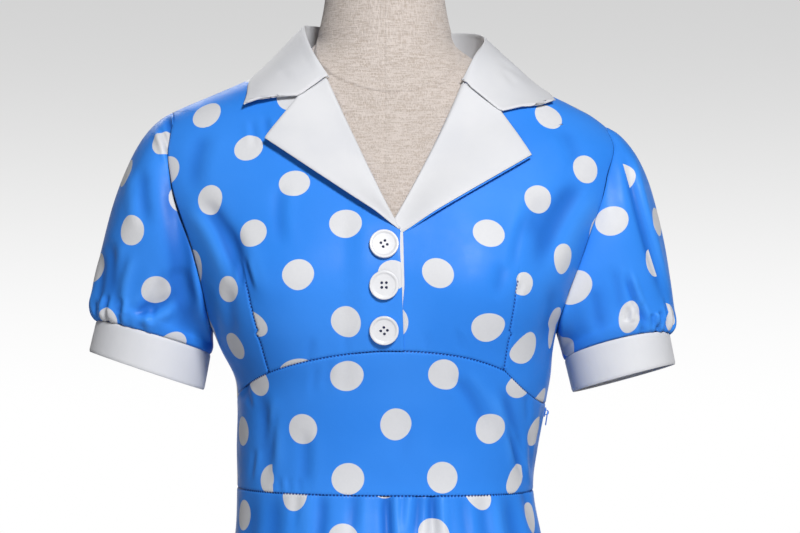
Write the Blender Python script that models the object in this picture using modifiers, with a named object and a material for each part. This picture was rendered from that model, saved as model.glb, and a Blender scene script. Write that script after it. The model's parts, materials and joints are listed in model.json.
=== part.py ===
"""An a-line dress on a limbless dress form that stands on a round base.

The dress is made from the pieces that a dressmaker cuts and sews: two bodice fronts that lap at
the centre, a bodice back, a midriff and a flared skirt in front and behind, gathered short sleeves
on straight cuffs, a notched collar on its stand, two turned-back lapels, the facing's edge and
three buttons. Each cloth piece is a flat grid that is laid on the figure's sections and given a
wall inwards.

Metres, +Z up. The origin is on the floor under the middle of the base. The dress faces -Y, and +X
is the wearer's left. An angle goes round the figure from 0 at the centre front, through 90 degrees
at the wearer's left side, to 180 at the centre back.
"""

import math

import bmesh
import bpy
import numpy as np
from mathutils import Matrix

CLOTH = 0.0012  # wall of every cloth piece
SEAM = 0.0006  # between the edges of two pieces that are sewn together
LAY = 0.0005  # between two pieces that lie on each other
MERGE = 0.00001  # vertices this near are one

# Heights of the dress's seams
HEM_Z = 0.400
WAIST_Z = 1.040
UNDERBUST_SIDE_Z = 1.113
UNDERBUST_DART_Z = 1.143
UNDERBUST_FRONT_Z = 1.1605
DART_ANGLE = math.radians(40)

# The armhole is an oval, seen from the side
ARMPIT_Z = 1.175
TIP_Z = {"left": 1.350, "right": 1.362}
ARMHOLE_FRONT = 0.050
ARMHOLE_BACK = 0.056
ARMHOLE_SQUARE = 2.2
ARMHOLE_STEPS = 9  # down one side of the oval
SIDE_STEPS = 2  # from the seam under the bust to the armpit
SHOULDER_STEPS = 3
BODICE_STEPS = SIDE_STEPS + ARMHOLE_STEPS + SHOULDER_STEPS

# Neckline, on the wearer's left and right
NECK_Z = {"left": 1.4070, "right": 1.4187}
SIDE_SIGN = {"left": 1, "right": -1}

# The front opening: the right front laps over the left
LAP_EDGE_TOP_X = 0.0135
LAP_EDGE_FOOT_X = 0.0163
UNDERLAP_X = -0.012
LAP_LIFT = 2 * CLOTH + LAY
LAP_RAMP_X = (-0.034, -0.015)  # where the right front climbs on to the left one
LAP_FADE_Z = 1.292  # the lift has gone by here

# Outer surface of the dress from hem to neck. A section's half widths lie left and right of the
# middle, its depths before and behind the side seams, and a square of 2 makes it an ellipse.
DRESS = np.array(
    (
        # z, left, right, front, back, front square, back square
        (0.400, 0.3080, 0.3080, 0.2800, 0.2800, 2.00, 2.00),
        (0.550, 0.2680, 0.2680, 0.2430, 0.2440, 2.00, 2.00),
        (0.700, 0.2250, 0.2240, 0.2020, 0.2030, 2.00, 2.00),
        (0.850, 0.1790, 0.1760, 0.1540, 0.1550, 2.05, 2.05),
        (0.900, 0.1630, 0.1590, 0.1370, 0.1370, 2.10, 2.10),
        (0.950, 0.1480, 0.1430, 0.1210, 0.1190, 2.15, 2.15),
        (1.000, 0.1350, 0.1290, 0.1060, 0.1030, 2.25, 2.25),
        (1.040, 0.1270, 0.1265, 0.0980, 0.0930, 2.30, 2.30),
        (1.075, 0.1310, 0.1270, 0.1010, 0.0940, 2.30, 2.30),
        (1.113, 0.1380, 0.1270, 0.1080, 0.0970, 2.40, 2.30),
        (1.135, 0.1420, 0.1285, 0.1130, 0.1000, 2.50, 2.35),
        (1.159, 0.1440, 0.1400, 0.1190, 0.1030, 2.60, 2.40),
        (1.175, 0.1470, 0.1470, 0.1220, 0.1050, 2.70, 2.40),
        (1.193, 0.1550, 0.1550, 0.1240, 0.1060, 2.75, 2.40),
        (1.215, 0.1640, 0.1640, 0.1250, 0.1075, 2.75, 2.40),
        (1.230, 0.1710, 0.1710, 0.1240, 0.1080, 2.65, 2.35),
        (1.260, 0.1850, 0.1850, 0.1170, 0.1080, 2.45, 2.30),
        (1.304, 0.2050, 0.2050, 0.1000, 0.1040, 2.20, 2.20),
        (1.335, 0.2040, 0.2080, 0.0860, 0.0950, 2.05, 2.10),
        (1.350, 0.1870, 0.2010, 0.0790, 0.0890, 2.00, 2.00),
        (1.362, 0.1665, 0.1860, 0.0745, 0.0840, 2.00, 2.00),
        (1.378, 0.1380, 0.1580, 0.0700, 0.0785, 2.00, 2.00),
        (1.390, 0.1160, 0.1320, 0.0665, 0.0750, 2.00, 2.00),
        (1.410, 0.0800, 0.0870, 0.0610, 0.0670, 2.00, 2.00),
        (1.420, 0.0640, 0.0670, 0.0585, 0.0635, 2.00, 2.00),
    )
)

# The dress form, in the same columns
FORM = np.array(
    (
        # z, left, right, front, back, front square, back square
        (0.830, 0.1480, 0.1480, 0.0960, 0.1080, 2.10, 2.10),
        (0.860, 0.1580, 0.1580, 0.1020, 0.1160, 2.10, 2.10),
        (0.900, 0.1520, 0.1520, 0.1030, 0.1150, 2.10, 2.10),
        (0.950, 0.1370, 0.1370, 0.1010, 0.1040, 2.15, 2.15),
        (1.000, 0.1240, 0.1240, 0.0970, 0.0920, 2.25, 2.25),
        (1.040, 0.1200, 0.1200, 0.0920, 0.0865, 2.30, 2.30),
        (1.075, 0.1205, 0.1205, 0.0945, 0.0870, 2.30, 2.30),
        (1.113, 0.1210, 0.1210, 0.1010, 0.0900, 2.40, 2.30),
        (1.135, 0.1225, 0.1225, 0.1060, 0.0930, 2.50, 2.35),
        (1.159, 0.1320, 0.1320, 0.1115, 0.0965, 2.60, 2.40),
        (1.175, 0.1390, 0.1390, 0.1150, 0.0985, 2.70, 2.40),
        (1.193, 0.1440, 0.1440, 0.1170, 0.1000, 2.75, 2.40),
        (1.215, 0.1480, 0.1480, 0.1180, 0.1015, 2.75, 2.40),
        (1.230, 0.1510, 0.1510, 0.1170, 0.1020, 2.65, 2.35),
        (1.260, 0.1600, 0.1600, 0.1110, 0.1030, 2.45, 2.30),
        (1.304, 0.1760, 0.1760, 0.0955, 0.1000, 2.20, 2.20),
        (1.335, 0.1820, 0.1830, 0.0825, 0.0915, 2.05, 2.10),
        (1.350, 0.1760, 0.1840, 0.0758, 0.0860, 2.00, 2.00),
        (1.362, 0.1600, 0.1780, 0.0714, 0.0812, 2.00, 2.00),
        (1.378, 0.1325, 0.1525, 0.0672, 0.0758, 2.00, 2.00),
        (1.390, 0.1098, 0.1260, 0.0624, 0.0713, 2.00, 2.00),
        (1.410, 0.0730, 0.0790, 0.0562, 0.0625, 2.00, 2.00),
        (1.420, 0.0600, 0.0605, 0.0535, 0.0595, 2.00, 2.00),
        (1.433, 0.0565, 0.0565, 0.0515, 0.0580, 2.00, 2.00),
        (1.459, 0.0515, 0.0515, 0.0470, 0.0540, 2.00, 2.00),
        (1.492, 0.0500, 0.0500, 0.0440, 0.0525, 2.00, 2.00),
    )
)

FORM_SIDES = 36

# The bust, two soft mounds on the front of both
BUST_X, BUST_Z = 0.082, 1.213
BUST_OUT, BUST_WIDE, BUST_TALL = 0.0075, 0.036, 0.034

# The skirt's flares: soft waves that grow from the waist to the hem
FLARE_DEPTH = 0.015
FLARES = np.array(
    (
        # waves round the hem, share of the depth, turn
        (6, 0.50, 0.6),
        (9, 0.40, 2.1),
        (13, 0.25, 4.4),
    )
)

# Lapels seen from the front, as x and z of their corners on each side
NOTCHES = {
    # break, gorge, notch, tip
    "right": ((0.0118, 1.2590), (-0.0486, 1.3890), (-0.0714, 1.3729), (-0.0984, 1.3337)),
    "left": ((0.0150, 1.2590), (0.0655, 1.3850), (0.0969, 1.3598), (0.1211, 1.3206)),
}
LAPEL_LIFT = 0.0036
LAPEL_ROOT_LIFT = 0.0008
LAPEL_FOOT = 0.04  # share of the lapel that is left off at the break, where it comes to a point
NOTCH_SHARE = 0.42  # the notch's place along the lapel's upper edge

# The collar, from the right front round the neck to the left front. A row's foot is an angle and
# a height on the dress, its roll is a point, and its edge is an angle and a height on the dress.
COLLAR = np.array(
    (
        # foot angle, foot z, roll x, roll y, roll z, edge angle, edge z
        (-23.0, 1.3900, -0.0482, -0.0648, 1.3905, -40.4, 1.3650),
        (-46.0, 1.4070, -0.0612, -0.0478, 1.4125, -50.0, 1.3805),
        (-88.0, 1.4180, -0.0705, -0.0060, 1.4370, -88.0, 1.3975),
        (-122.0, 1.4160, -0.0645, 0.0330, 1.4415, -120.0, 1.3905),
        (-152.0, 1.4140, -0.0400, 0.0620, 1.4410, -150.0, 1.3860),
        (-187.0, 1.4120, 0.0080, 0.0735, 1.4385, -184.0, 1.3840),
        (-220.0, 1.4095, 0.0560, 0.0600, 1.4355, -215.0, 1.3850),
        (-245.0, 1.4080, 0.0790, 0.0300, 1.4325, -242.0, 1.3850),
        (-272.0, 1.4060, 0.0855, -0.0080, 1.4245, -270.0, 1.3815),
        (-304.5, 1.4030, 0.0765, -0.0430, 1.4085, -281.0, 1.3755),
        (-325.0, 1.3870, 0.0655, -0.0605, 1.3870, -295.0, 1.3681),
    )
)
COLLAR_LIFT = 0.0028
COLLAR_ROWS = (-1, -0.5, 0, 0.08, 0.36, 0.68, 1)  # foot at -1, roll at 0, edge at 1
FALL_BULGE = 0.0016
COLLAR_MIDDLE = np.array((0.008, 0.0, 1.33))  # what the fall bulges away from

# Sleeves and cuffs, seen from the front: x and z of the cuff's ends, and how much lower its back is
CUFFS = {
    "right": {
        "top_out": (-0.2479, 1.1831),
        "top_in": (-0.1498, 1.1545),
        "foot_out": (-0.2544, 1.1570),
        "foot_in": (-0.1556, 1.1239),
        "pitch": 0.0045,
    },
    "left": {
        "top_out": (0.2450, 1.1712),
        "top_in": (0.1545, 1.1500),
        "foot_out": (0.2500, 1.1460),
        "foot_in": (0.1610, 1.1220),
        "pitch": 0.0080,
    },
}
CUFF_HALF_DEPTH = 0.0450
SLEEVE_STEPS = 8
PUFF_RISE, PUFF_OUT = 0.0180, 0.0085  # of the sleeve's fullest ring from the cuff
PUFF_INNER = 0.35  # share of both that is left on the inner side
TUCK_SHARE = 2 / SLEEVE_STEPS  # of the sleeve, below the fullest ring
GATHER_DEPTH = 0.0018
GATHERS = 9

# Buttons
BUTTON_Z = (1.2472, 1.2147, 1.1783)
BUTTON_TURN = (30, 0, 50)
BUTTON_RADIUS = 0.0120
BUTTON_THICK = 0.0034
BUTTON_RIM, BUTTON_DISH = 0.0022, 0.0009
BUTTON_HOLE_RADIUS = 0.0009
BUTTON_HOLE_OUT = 0.0027
FACING_FOOT_Z = 1.195
FACING_SHOWS = 0.0016
FACING_THICK = 0.0010

# Concealed zip in the left side seam: its slider, and the pull that hangs from the slider's loop
ZIP_Z = 1.1050
SLIDER_TALL, SLIDER_WIDE, SLIDER_THICK = 0.0080, 0.0050, 0.0018
SLIDER_ROUND = 0.0006
LOOP_RADIUS, LOOP_WIRE = 0.00215, 0.00045
LOOP_OUT = 0.0005  # its middle, above the slider
PULL_OUT = 0.0011  # the pull's axis, above the slider
PULL_WIDE, PULL_LONG, PULL_THICK = 0.0044, 0.0125, 0.0010
PULL_BAR = 0.0005  # from the axis to the pull's end and to its eye
PULL_EYE_WIDE, PULL_EYE_END = 0.0016, 0.0031

# Stand
BASE_RADIUS = 0.175
BASE_THICK = 0.008
BASE_EDGE = 0.0025
SOCKET_RADIUS = 0.021
SOCKET_TOP_Z = 0.055
POLE_RADIUS = 0.0125
TOUCH = 0.0003  # between hard pieces that meet

BLUE = (0.035, 0.215, 0.800, 1.0)
WHITE = (0.800, 0.800, 0.820, 1.0)
LINEN = (0.560, 0.480, 0.400, 1.0)
SHELL = (0.780, 0.780, 0.800, 1.0)
STEEL = (0.560, 0.570, 0.580, 1.0)


# ---------------------------------------------------------------- shapes that follow a rule


def smooth(table, at):
    """The table's other columns where its first is at, on a smooth curve through its rows."""
    knots, values = table[:, 0], table[:, 1:]
    slopes = np.gradient(values, knots, axis=0)
    at = np.clip(np.asarray(at, float), knots[0], knots[-1])
    row = np.clip(np.searchsorted(knots, at, side="right") - 1, 0, len(knots) - 2)
    gap = (knots[row + 1] - knots[row])[..., None]
    t = (at - knots[row])[..., None] / gap
    return (
        (1 + 2 * t) * (1 - t) ** 2 * values[row]
        + t * (1 - t) ** 2 * gap * slopes[row]
        + t**2 * (3 - 2 * t) * values[row + 1]
        + t**2 * (t - 1) * gap * slopes[row + 1]
    )


def ease_in(value, low, high):
    """0 below low, 1 above high, and a soft step between them."""
    t = np.clip((value - low) / (high - low), 0, 1)
    return t * t * (3 - 2 * t)


def measures(table, z):
    return np.moveaxis(smooth(table, z), -1, 0)


def bust(x, z):
    """How far the bust stands out of the front."""
    across = np.exp(-(((np.abs(x) - BUST_X) / BUST_WIDE) ** 2) / 2)
    return BUST_OUT * across * np.exp(-(((z - BUST_Z) / BUST_TALL) ** 2) / 2)


def flare(angle, z):
    """How far the skirt's waves stand out of its section."""
    grown = np.clip((WAIST_Z - z) / (WAIST_Z - HEM_Z), 0, 1)
    waves = sum(share * np.cos(n * angle + turn) for n, share, turn in FLARES)
    return FLARE_DEPTH * grown * waves


def on_section(table, angle, z):
    """The point of a section at an angle."""
    left, right, front, back, front_square, back_square = measures(table, z)
    s, c = np.sin(angle), np.cos(angle)
    power = 2 / np.where(c >= 0, front_square, back_square)
    x = np.where(s >= 0, left, right) * np.sign(s) * np.abs(s) ** power
    y = -np.where(c >= 0, front, back) * np.sign(c) * np.abs(c) ** power
    y = y - np.where(c > 0, bust(x, z), 0)
    return np.stack(np.broadcast_arrays(x, y, z), axis=-1)


def on_figure(table, angle, z, out=0.0):
    """The point of a table's surface at an angle and a height, moved out along its normal."""
    angle, z = np.broadcast_arrays(np.asarray(angle, float), np.asarray(z, float))
    step = 1e-4
    round_it = on_section(table, angle + step, z) - on_section(table, angle - step, z)
    up = on_section(table, angle, z + step) - on_section(table, angle, z - step)
    normal = np.cross(round_it, up)
    normal /= np.linalg.norm(normal, axis=-1, keepdims=True)
    out = np.asarray(out, float) + flare(angle, z) * (table is DRESS)
    return on_section(table, angle, z) + normal * out[..., None]


def angle_at_x(x, z):
    """The angle in front at which the dress's section is this far across."""
    left, right, _, _, square, _ = measures(DRESS, z)
    half = np.where(x >= 0, left, right)
    return np.sign(x) * np.arcsin(np.clip(np.abs(x) / half, 0, 1) ** (square / 2))


def angle_at_depth(depth, z, behind):
    """The angle on the left at which the section is this deep before or behind the side seam."""
    _, _, front, back, front_square, back_square = measures(DRESS, z)
    if behind:
        return math.pi - np.arccos(np.clip(depth / back, 0, 1) ** (back_square / 2))
    return np.arccos(np.clip(depth / front, 0, 1) ** (front_square / 2))


def armhole_level(side, share):
    """The height on the armhole's oval, from 0 at the shoulder tip to 1 at the armpit."""
    middle, half = (TIP_Z[side] + ARMPIT_Z) / 2, (TIP_Z[side] - ARMPIT_Z) / 2
    return middle + half * np.cos(math.pi * np.asarray(share, float))


def side_angle(side, z, behind, clear=SEAM / 2):
    """Where a bodice piece ends: side seam, armhole or shoulder seam. Its sign is the side's."""
    middle, half = (TIP_Z[side] + ARMPIT_Z) / 2, (TIP_Z[side] - ARMPIT_Z) / 2
    inside = 1 - np.clip(np.abs(z - middle) / half, 0, 1) ** ARMHOLE_SQUARE
    deep = (ARMHOLE_BACK if behind else ARMHOLE_FRONT) * inside ** (1 / ARMHOLE_SQUARE)
    return SIDE_SIGN[side] * angle_at_depth(np.maximum(deep, clear), z, behind)


def underbust(angle):
    """Height of the seam under the bust: an arc to the dart on each side, then down to the side."""
    away = np.abs(np.asarray(angle, float))
    arc = np.clip(away / DART_ANGLE, 0, 1) ** 1.8
    rest = np.clip((away - DART_ANGLE) / (math.pi / 2 - DART_ANGLE), 0, 1)
    fall = 1 - (1 - rest) ** 1.7
    return (
        UNDERBUST_FRONT_Z
        - (UNDERBUST_FRONT_Z - UNDERBUST_DART_Z) * arc
        - (UNDERBUST_DART_Z - UNDERBUST_SIDE_Z) * fall
    )


def roll_x(side, z):
    """Where the lapel's roll line is, at a height above the break."""
    (x0, z0), (x1, z1) = NOTCHES[side][:2]
    return x0 + (x1 - x0) * (z - z0) / (z1 - z0)


def opening_x(side, z):
    """The inner edge of a bodice front: the lap below the break, the roll line above it."""
    break_z = NOTCHES[side][0][1]
    if side == "right":
        foot = UNDERBUST_FRONT_Z
        lap = LAP_EDGE_FOOT_X + (LAP_EDGE_TOP_X - LAP_EDGE_FOOT_X) * (z - foot) / (break_z - foot)
    else:
        lap = UNDERLAP_X
    return np.where(z <= break_z + 1e-6, lap, roll_x(side, z))


def lap_lift(side, x, z):
    """How far the right front stands out where it lies on the left one."""
    if side == "left":
        return np.zeros_like(x)
    break_z = NOTCHES[side][0][1]
    return LAP_LIFT * ease_in(x, *LAP_RAMP_X) * (1 - ease_in(z, break_z, LAP_FADE_Z))


def at_front(x, z, out):
    """The point on the dress's front at x and z, moved out."""
    return on_figure(DRESS, angle_at_x(x, z), z, out)


# ---------------------------------------------------------------- cloth pieces, as grids of s and t


def bodice_levels(side):
    """Heights of a bodice piece's rows at its side, from the under-bust seam to the neck."""
    armhole = armhole_level(side, np.linspace(1, 0, ARMHOLE_STEPS + 1))
    below = np.linspace(UNDERBUST_SIDE_Z + SEAM / 2, ARMPIT_Z, SIDE_STEPS + 1)[:-1]
    shoulder = np.linspace(TIP_Z[side], NECK_Z[side], SHOULDER_STEPS + 1)[1:]
    return np.concatenate((below, armhole, shoulder))


def bodice_front(side):
    """One front, from its opening edge to the side seam, armhole and shoulder."""
    levels = bodice_levels(side)
    shares = (levels - levels[0]) / (levels[-1] - levels[0])

    def place(s, t):
        s = s if side == "left" else 1 - s
        foot_angle = angle_at_x(opening_x(side, UNDERBUST_FRONT_Z), UNDERBUST_FRONT_Z)
        side_seam = SIDE_SIGN[side] * math.pi / 2
        foot = underbust(foot_angle + s * (side_seam - foot_angle)) + SEAM / 2
        share = np.interp(t, np.linspace(0, 1, len(levels)), shares)
        z = foot + share * (levels[-1] - foot)
        inner = angle_at_x(opening_x(side, z), z)
        angle = inner + s * (side_angle(side, z, behind=False) - inner)
        x = on_section(DRESS, angle, z)[..., 0]
        return on_figure(DRESS, angle, z, lap_lift(side, x, z))

    return place


def bodice_back():
    """The back, in one piece from side to side."""
    rows = np.linspace(0, 1, BODICE_STEPS + 1)

    def place(s, t):
        left_z, right_z = (np.interp(t, rows, bodice_levels(side)) for side in ("left", "right"))
        first = side_angle("left", left_z, behind=True)
        last = 2 * math.pi + side_angle("right", right_z, behind=True)
        return on_figure(DRESS, first + s * (last - first), left_z + s * (right_z - left_z))

    return place


def half_round(behind, z):
    """First and last angle of the front or back half, just clear of the side seams."""
    edge = angle_at_depth(SEAM / 2, z, behind)
    return (edge, 2 * math.pi - edge) if behind else (-edge, edge)


def midriff(behind):
    """The fitted band between the seam under the bust and the waist."""

    def place(s, t):
        first, last = half_round(behind, WAIST_Z)
        angle = first + s * (last - first)
        top = underbust(angle) if not behind else UNDERBUST_SIDE_Z
        z = WAIST_Z + SEAM / 2 + t * (top - WAIST_Z - SEAM)
        return on_figure(DRESS, angle, z)

    return place


def skirt(behind):
    """Half of the flared skirt, from waist to hem."""

    def place(s, t):
        z = HEM_Z + t * (WAIST_Z - SEAM / 2 - HEM_Z)
        first, last = half_round(behind, z)
        return on_figure(DRESS, first + s * (last - first), z)

    return place


def cuff_ring(side, end, turn):
    """Points of the cuff's top or foot, from its outer end at turn 0 through the front."""
    cuff = CUFFS[side]
    out, within = np.array(cuff[end + "_out"]), np.array(cuff[end + "_in"])
    middle, reach = (out + within) / 2, (out - within) / 2
    x = middle[0] + reach[0] * np.cos(turn)
    z = middle[1] + reach[1] * np.cos(turn) + cuff["pitch"] / 2 * np.sin(turn)
    return np.stack((x, -CUFF_HALF_DEPTH * np.sin(turn), z), axis=-1)


def armhole_ring(side, turn):
    """Points just outside the armhole's edge, from the shoulder tip at turn 0 through the front."""
    z = armhole_level(side, 1 - np.abs(1 - turn / math.pi))
    front, back = (side_angle(side, z, behind, clear=0) for behind in (False, True))
    return on_figure(DRESS, np.where(turn > math.pi, back, front), z, LAY + CLOTH)


def full_ring(side, turn):
    """The sleeve's fullest ring, just above the cuff, and the cuff's axis."""
    top, foot = (cuff_ring(side, end, np.array((0, math.pi))).mean(axis=0) for end in ("top", "foot"))
    axis = (foot - top) / np.linalg.norm(foot - top)
    ring = cuff_ring(side, "top", turn)
    outward = (ring - top) / np.linalg.norm(ring - top, axis=-1, keepdims=True)
    high = ((1 + np.cos(turn)) / 2)[:, None]
    rise = PUFF_RISE * (PUFF_INNER + (1 - PUFF_INNER) * high)
    out = PUFF_OUT * (PUFF_INNER + (1 - PUFF_INNER) * high)
    ripple = GATHER_DEPTH * np.cos(GATHERS * turn)[:, None] * high
    return ring - axis * rise + outward * (out + ripple), axis


def sleeve(side):
    """A short puffed sleeve: its lines run from the armhole to the fullest ring and into the cuff."""
    sign = SIDE_SIGN[side]
    leave_tip = np.array((sign * 0.745, 0.0, -0.40))
    leave_armpit = np.array((sign * 0.25, 0.0, -0.95))
    forward = np.array((0.0, -0.32, 0.0))
    arrive = 0.535

    def place(s, t):
        turn = 2 * math.pi * (s if side == "right" else 1 - s)
        down = (np.clip((1 - t) / (1 - TUCK_SHARE), 0, 1))[:, None]
        start, (full, axis) = armhole_ring(side, turn), full_ring(side, turn)
        high = ((1 + np.cos(turn)) / 2)[:, None]
        reach = np.linalg.norm(full - start, axis=-1, keepdims=True)
        leave = high * leave_tip + (1 - high) * leave_armpit + np.sin(turn)[:, None] * forward
        line = (
            (1 + 2 * down) * (1 - down) ** 2 * start
            + down * (1 - down) ** 2 * reach * leave
            + down**2 * (3 - 2 * down) * full
            + down**2 * (down - 1) * reach * arrive * axis
        )
        tuck = (np.clip(1 - t / TUCK_SHARE, 0, 1) ** 2)[:, None]
        return line + tuck * (cuff_ring(side, "top", turn) - full)

    return place


def cuff(side):
    """A straight band, just below the sleeve's edge."""

    def place(s, t):
        turn = 2 * math.pi * (s if side == "right" else 1 - s)
        top, foot = cuff_ring(side, "top", turn), cuff_ring(side, "foot", turn)
        gap = (foot - top) / np.linalg.norm(foot - top, axis=-1, keepdims=True) * SEAM
        return foot + t[:, None] * (top + gap - foot)

    return place


def lapel(side):
    """A lapel: a patch between its roll line and its outer edge, laid on the front."""
    start, gorge, notch, tip = (np.array(p) for p in NOTCHES[side])

    def place(s, t):
        s = 1 - s if side == "right" else s
        t = LAPEL_FOOT + t * (1 - LAPEL_FOOT)
        inner = start + t[:, None] * (gorge - start)
        outer = start + t[:, None] * (tip - start)
        straight = inner + s[:, None] * (outer - inner)
        corner = np.minimum(s / NOTCH_SHARE, (1 - s) / (1 - NOTCH_SHARE))[:, None]
        rise = notch - (gorge + NOTCH_SHARE * (tip - gorge))
        flat = straight + corner * t[:, None] ** 6 * rise
        below_gorge = np.where(t > 0.999, 2 * SEAM, 0.0)
        x, z = flat[:, 0], flat[:, 1] - below_gorge
        lift = LAPEL_ROOT_LIFT + (LAPEL_LIFT - LAPEL_ROOT_LIFT) * ease_in(s, 0, 0.5)
        return at_front(x, z, lift * ease_in(t, -0.5, 0.2) + lap_lift(side, x, z) + CLOTH)

    return place


def collar():
    """The collar: its stand rises from the neck seam to the roll, and its fall lies outwards."""
    rows = np.linspace(0, 1, len(COLLAR))
    by_row = np.column_stack((rows, COLLAR))

    def place(s, t):
        foot_angle, foot_z, roll_a, roll_b, roll_c, edge_angle, edge_z = measures(by_row, s)
        foot = on_figure(DRESS, np.radians(foot_angle), foot_z, CLOTH + LAY)
        roll = np.stack((roll_a, roll_b, roll_c), axis=-1)
        edge = on_figure(DRESS, np.radians(edge_angle), edge_z, COLLAR_LIFT)
        row = np.interp(t, np.linspace(0, 1, len(COLLAR_ROWS)), COLLAR_ROWS)
        rise = 1 + np.clip(row, -1, 0)[:, None]
        run = np.clip(row, 0, 1)[:, None]
        fall = roll + run * (edge - roll)
        away = fall - COLLAR_MIDDLE
        away /= np.linalg.norm(away, axis=-1, keepdims=True)
        fall = fall + away * FALL_BULGE * np.sin(math.pi * np.sqrt(run))
        return np.where(run > 0, fall, foot + rise * (roll - foot))

    return place


def facing_edge():
    """The rolled edge of the white facing, which shows beside the lap of the right front."""
    top_z = NOTCHES["right"][0][1] - 0.003

    def place(s, t):
        z = FACING_FOOT_Z + t * (top_z - FACING_FOOT_Z)
        x = opening_x("right", z) + SEAM + s * FACING_SHOWS
        return at_front(x, z, LAP_LIFT)

    return place


# ---------------------------------------------------------------- Blender objects


def clear_scene():
    for obj in list(bpy.data.objects):
        bpy.data.objects.remove(obj)


def material(name, colour, roughness, metallic=0.0):
    made = bpy.data.materials.new(name)
    made.use_nodes = True
    shader = made.node_tree.nodes["Principled BSDF"]
    shader.inputs["Base Color"].default_value = colour
    shader.inputs["Roughness"].default_value = roughness
    shader.inputs["Metallic"].default_value = metallic
    return made


def keep(name, bm, collection, finish):
    """Makes an object in the collection from a bmesh."""
    mesh = bpy.data.meshes.new(name)
    bm.to_mesh(mesh)
    bm.free()
    mesh.materials.append(finish)
    mesh.shade_smooth()
    mesh.set_sharp_from_angle(angle=math.radians(50))
    obj = bpy.data.objects.new(name, mesh)
    collection.objects.link(obj)
    return obj


def sew(name, place, across, along, collection, finish, thick=CLOTH):
    """Lays a flat grid of cloth where place(s, t) says and gives it a wall inwards."""
    bm = bmesh.new()
    bmesh.ops.create_grid(bm, x_segments=across, y_segments=along, size=1.0)
    flat = np.array([vert.co[:2] for vert in bm.verts]) / 2 + 0.5
    for vert, point in zip(bm.verts, place(flat[:, 0], flat[:, 1])):
        vert.co = point
    bmesh.ops.remove_doubles(bm, verts=bm.verts, dist=MERGE)
    obj = keep(name, bm, collection, finish)
    wall = obj.modifiers.new("Wall", "SOLIDIFY")
    wall.thickness = thick
    wall.offset = -1.0
    return obj


def ring_of_wire(name, radius, wire, around, sides):
    """A closed ring of round wire about Z, in no collection yet."""
    bm = bmesh.new()
    bmesh.ops.create_circle(bm, segments=sides, radius=wire)
    bmesh.ops.rotate(bm, verts=bm.verts, matrix=Matrix.Rotation(math.pi / 2, 3, "X"))
    bmesh.ops.translate(bm, verts=bm.verts, vec=(radius, 0, 0))
    bmesh.ops.spin(
        bm,
        geom=bm.verts[:] + bm.edges[:],
        cent=(0, 0, 0),
        axis=(0, 0, 1),
        angle=2 * math.pi,
        steps=around,
        use_merge=True,
    )
    bmesh.ops.remove_doubles(bm, verts=bm.verts, dist=MERGE)
    bmesh.ops.recalc_face_normals(bm, faces=bm.faces)
    mesh = bpy.data.meshes.new(name)
    bm.to_mesh(mesh)
    bm.free()
    return bpy.data.objects.new(name, mesh)


def hide(cutter):
    """A cutter takes no part in the model itself."""
    cutter.hide_render = True
    cutter.display_type = "WIRE"


def add_zip(collection, cutters, finish):
    """The zip's slider lies on the side seam, and its pull hangs straight down from the loop."""
    seam = np.full(1, math.pi / 2)
    near, far = (on_figure(DRESS, seam, np.full(1, ZIP_Z), out)[0] for out in (LAY, 0.01))
    facing = (far - near) / np.linalg.norm(far - near)
    tilt = math.atan2(-facing[2], facing[0])
    seat = bpy.data.objects.new("zip_seat", None)
    collection.objects.link(seat)
    seat.location = near
    seat.rotation_euler.y = tilt

    bm = bmesh.new()
    bmesh.ops.create_cube(bm, size=1.0)
    bmesh.ops.scale(bm, verts=bm.verts, vec=(SLIDER_THICK, SLIDER_WIDE, SLIDER_TALL))
    bmesh.ops.translate(bm, verts=bm.verts, vec=(SLIDER_THICK / 2, 0, 0))
    slider = keep("zip_slider", bm, collection, finish)
    slider.parent = seat
    rounding = slider.modifiers.new("Round", "BEVEL")
    rounding.width = SLIDER_ROUND
    rounding.segments = 1
    loop = ring_of_wire("zip_loop", LOOP_RADIUS, LOOP_WIRE, 16, 8)
    loop.location.x = SLIDER_THICK + LOOP_OUT
    loop.rotation_euler.x = math.pi / 2
    loop.parent = seat
    cutters.objects.link(loop)
    hide(loop)
    join = slider.modifiers.new("Loop", "BOOLEAN")
    join.operation = "UNION"
    join.object = loop

    pivot = bpy.data.objects.new("pull_pivot", None)
    collection.objects.link(pivot)
    pivot.location = near + facing * (SLIDER_THICK + PULL_OUT)
    half, eye = PULL_WIDE / 2, PULL_EYE_WIDE / 2
    corner = PULL_WIDE / 3
    outline = bpy.data.curves.new("zip_pull", "CURVE")
    outline.dimensions = "2D"
    outline.fill_mode = "BOTH"
    outline.extrude = PULL_THICK / 2
    foot = PULL_BAR - PULL_LONG
    for points in (
        (
            (eye + PULL_BAR, PULL_BAR),
            (half, foot + 2 * corner),
            (half, foot + corner),
            (half - corner / 2, foot),
            (corner / 2 - half, foot),
            (-half, foot + corner),
            (-half, foot + 2 * corner),
            (-eye - PULL_BAR, PULL_BAR),
        ),
        ((eye, -PULL_BAR), (eye, -PULL_EYE_END), (-eye, -PULL_EYE_END), (-eye, -PULL_BAR)),
    ):
        spline = outline.splines.new("POLY")
        spline.points.add(len(points) - 1)
        spline.use_cyclic_u = True
        for point, (y, z) in zip(spline.points, points):
            point.co = (y, z, 0, 1)
    outline.materials.append(finish)
    pull = bpy.data.objects.new("zip_pull", outline)
    collection.objects.link(pull)
    pull.parent = pivot
    pull.rotation_euler = (math.pi / 2, 0, math.pi / 2)


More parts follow.
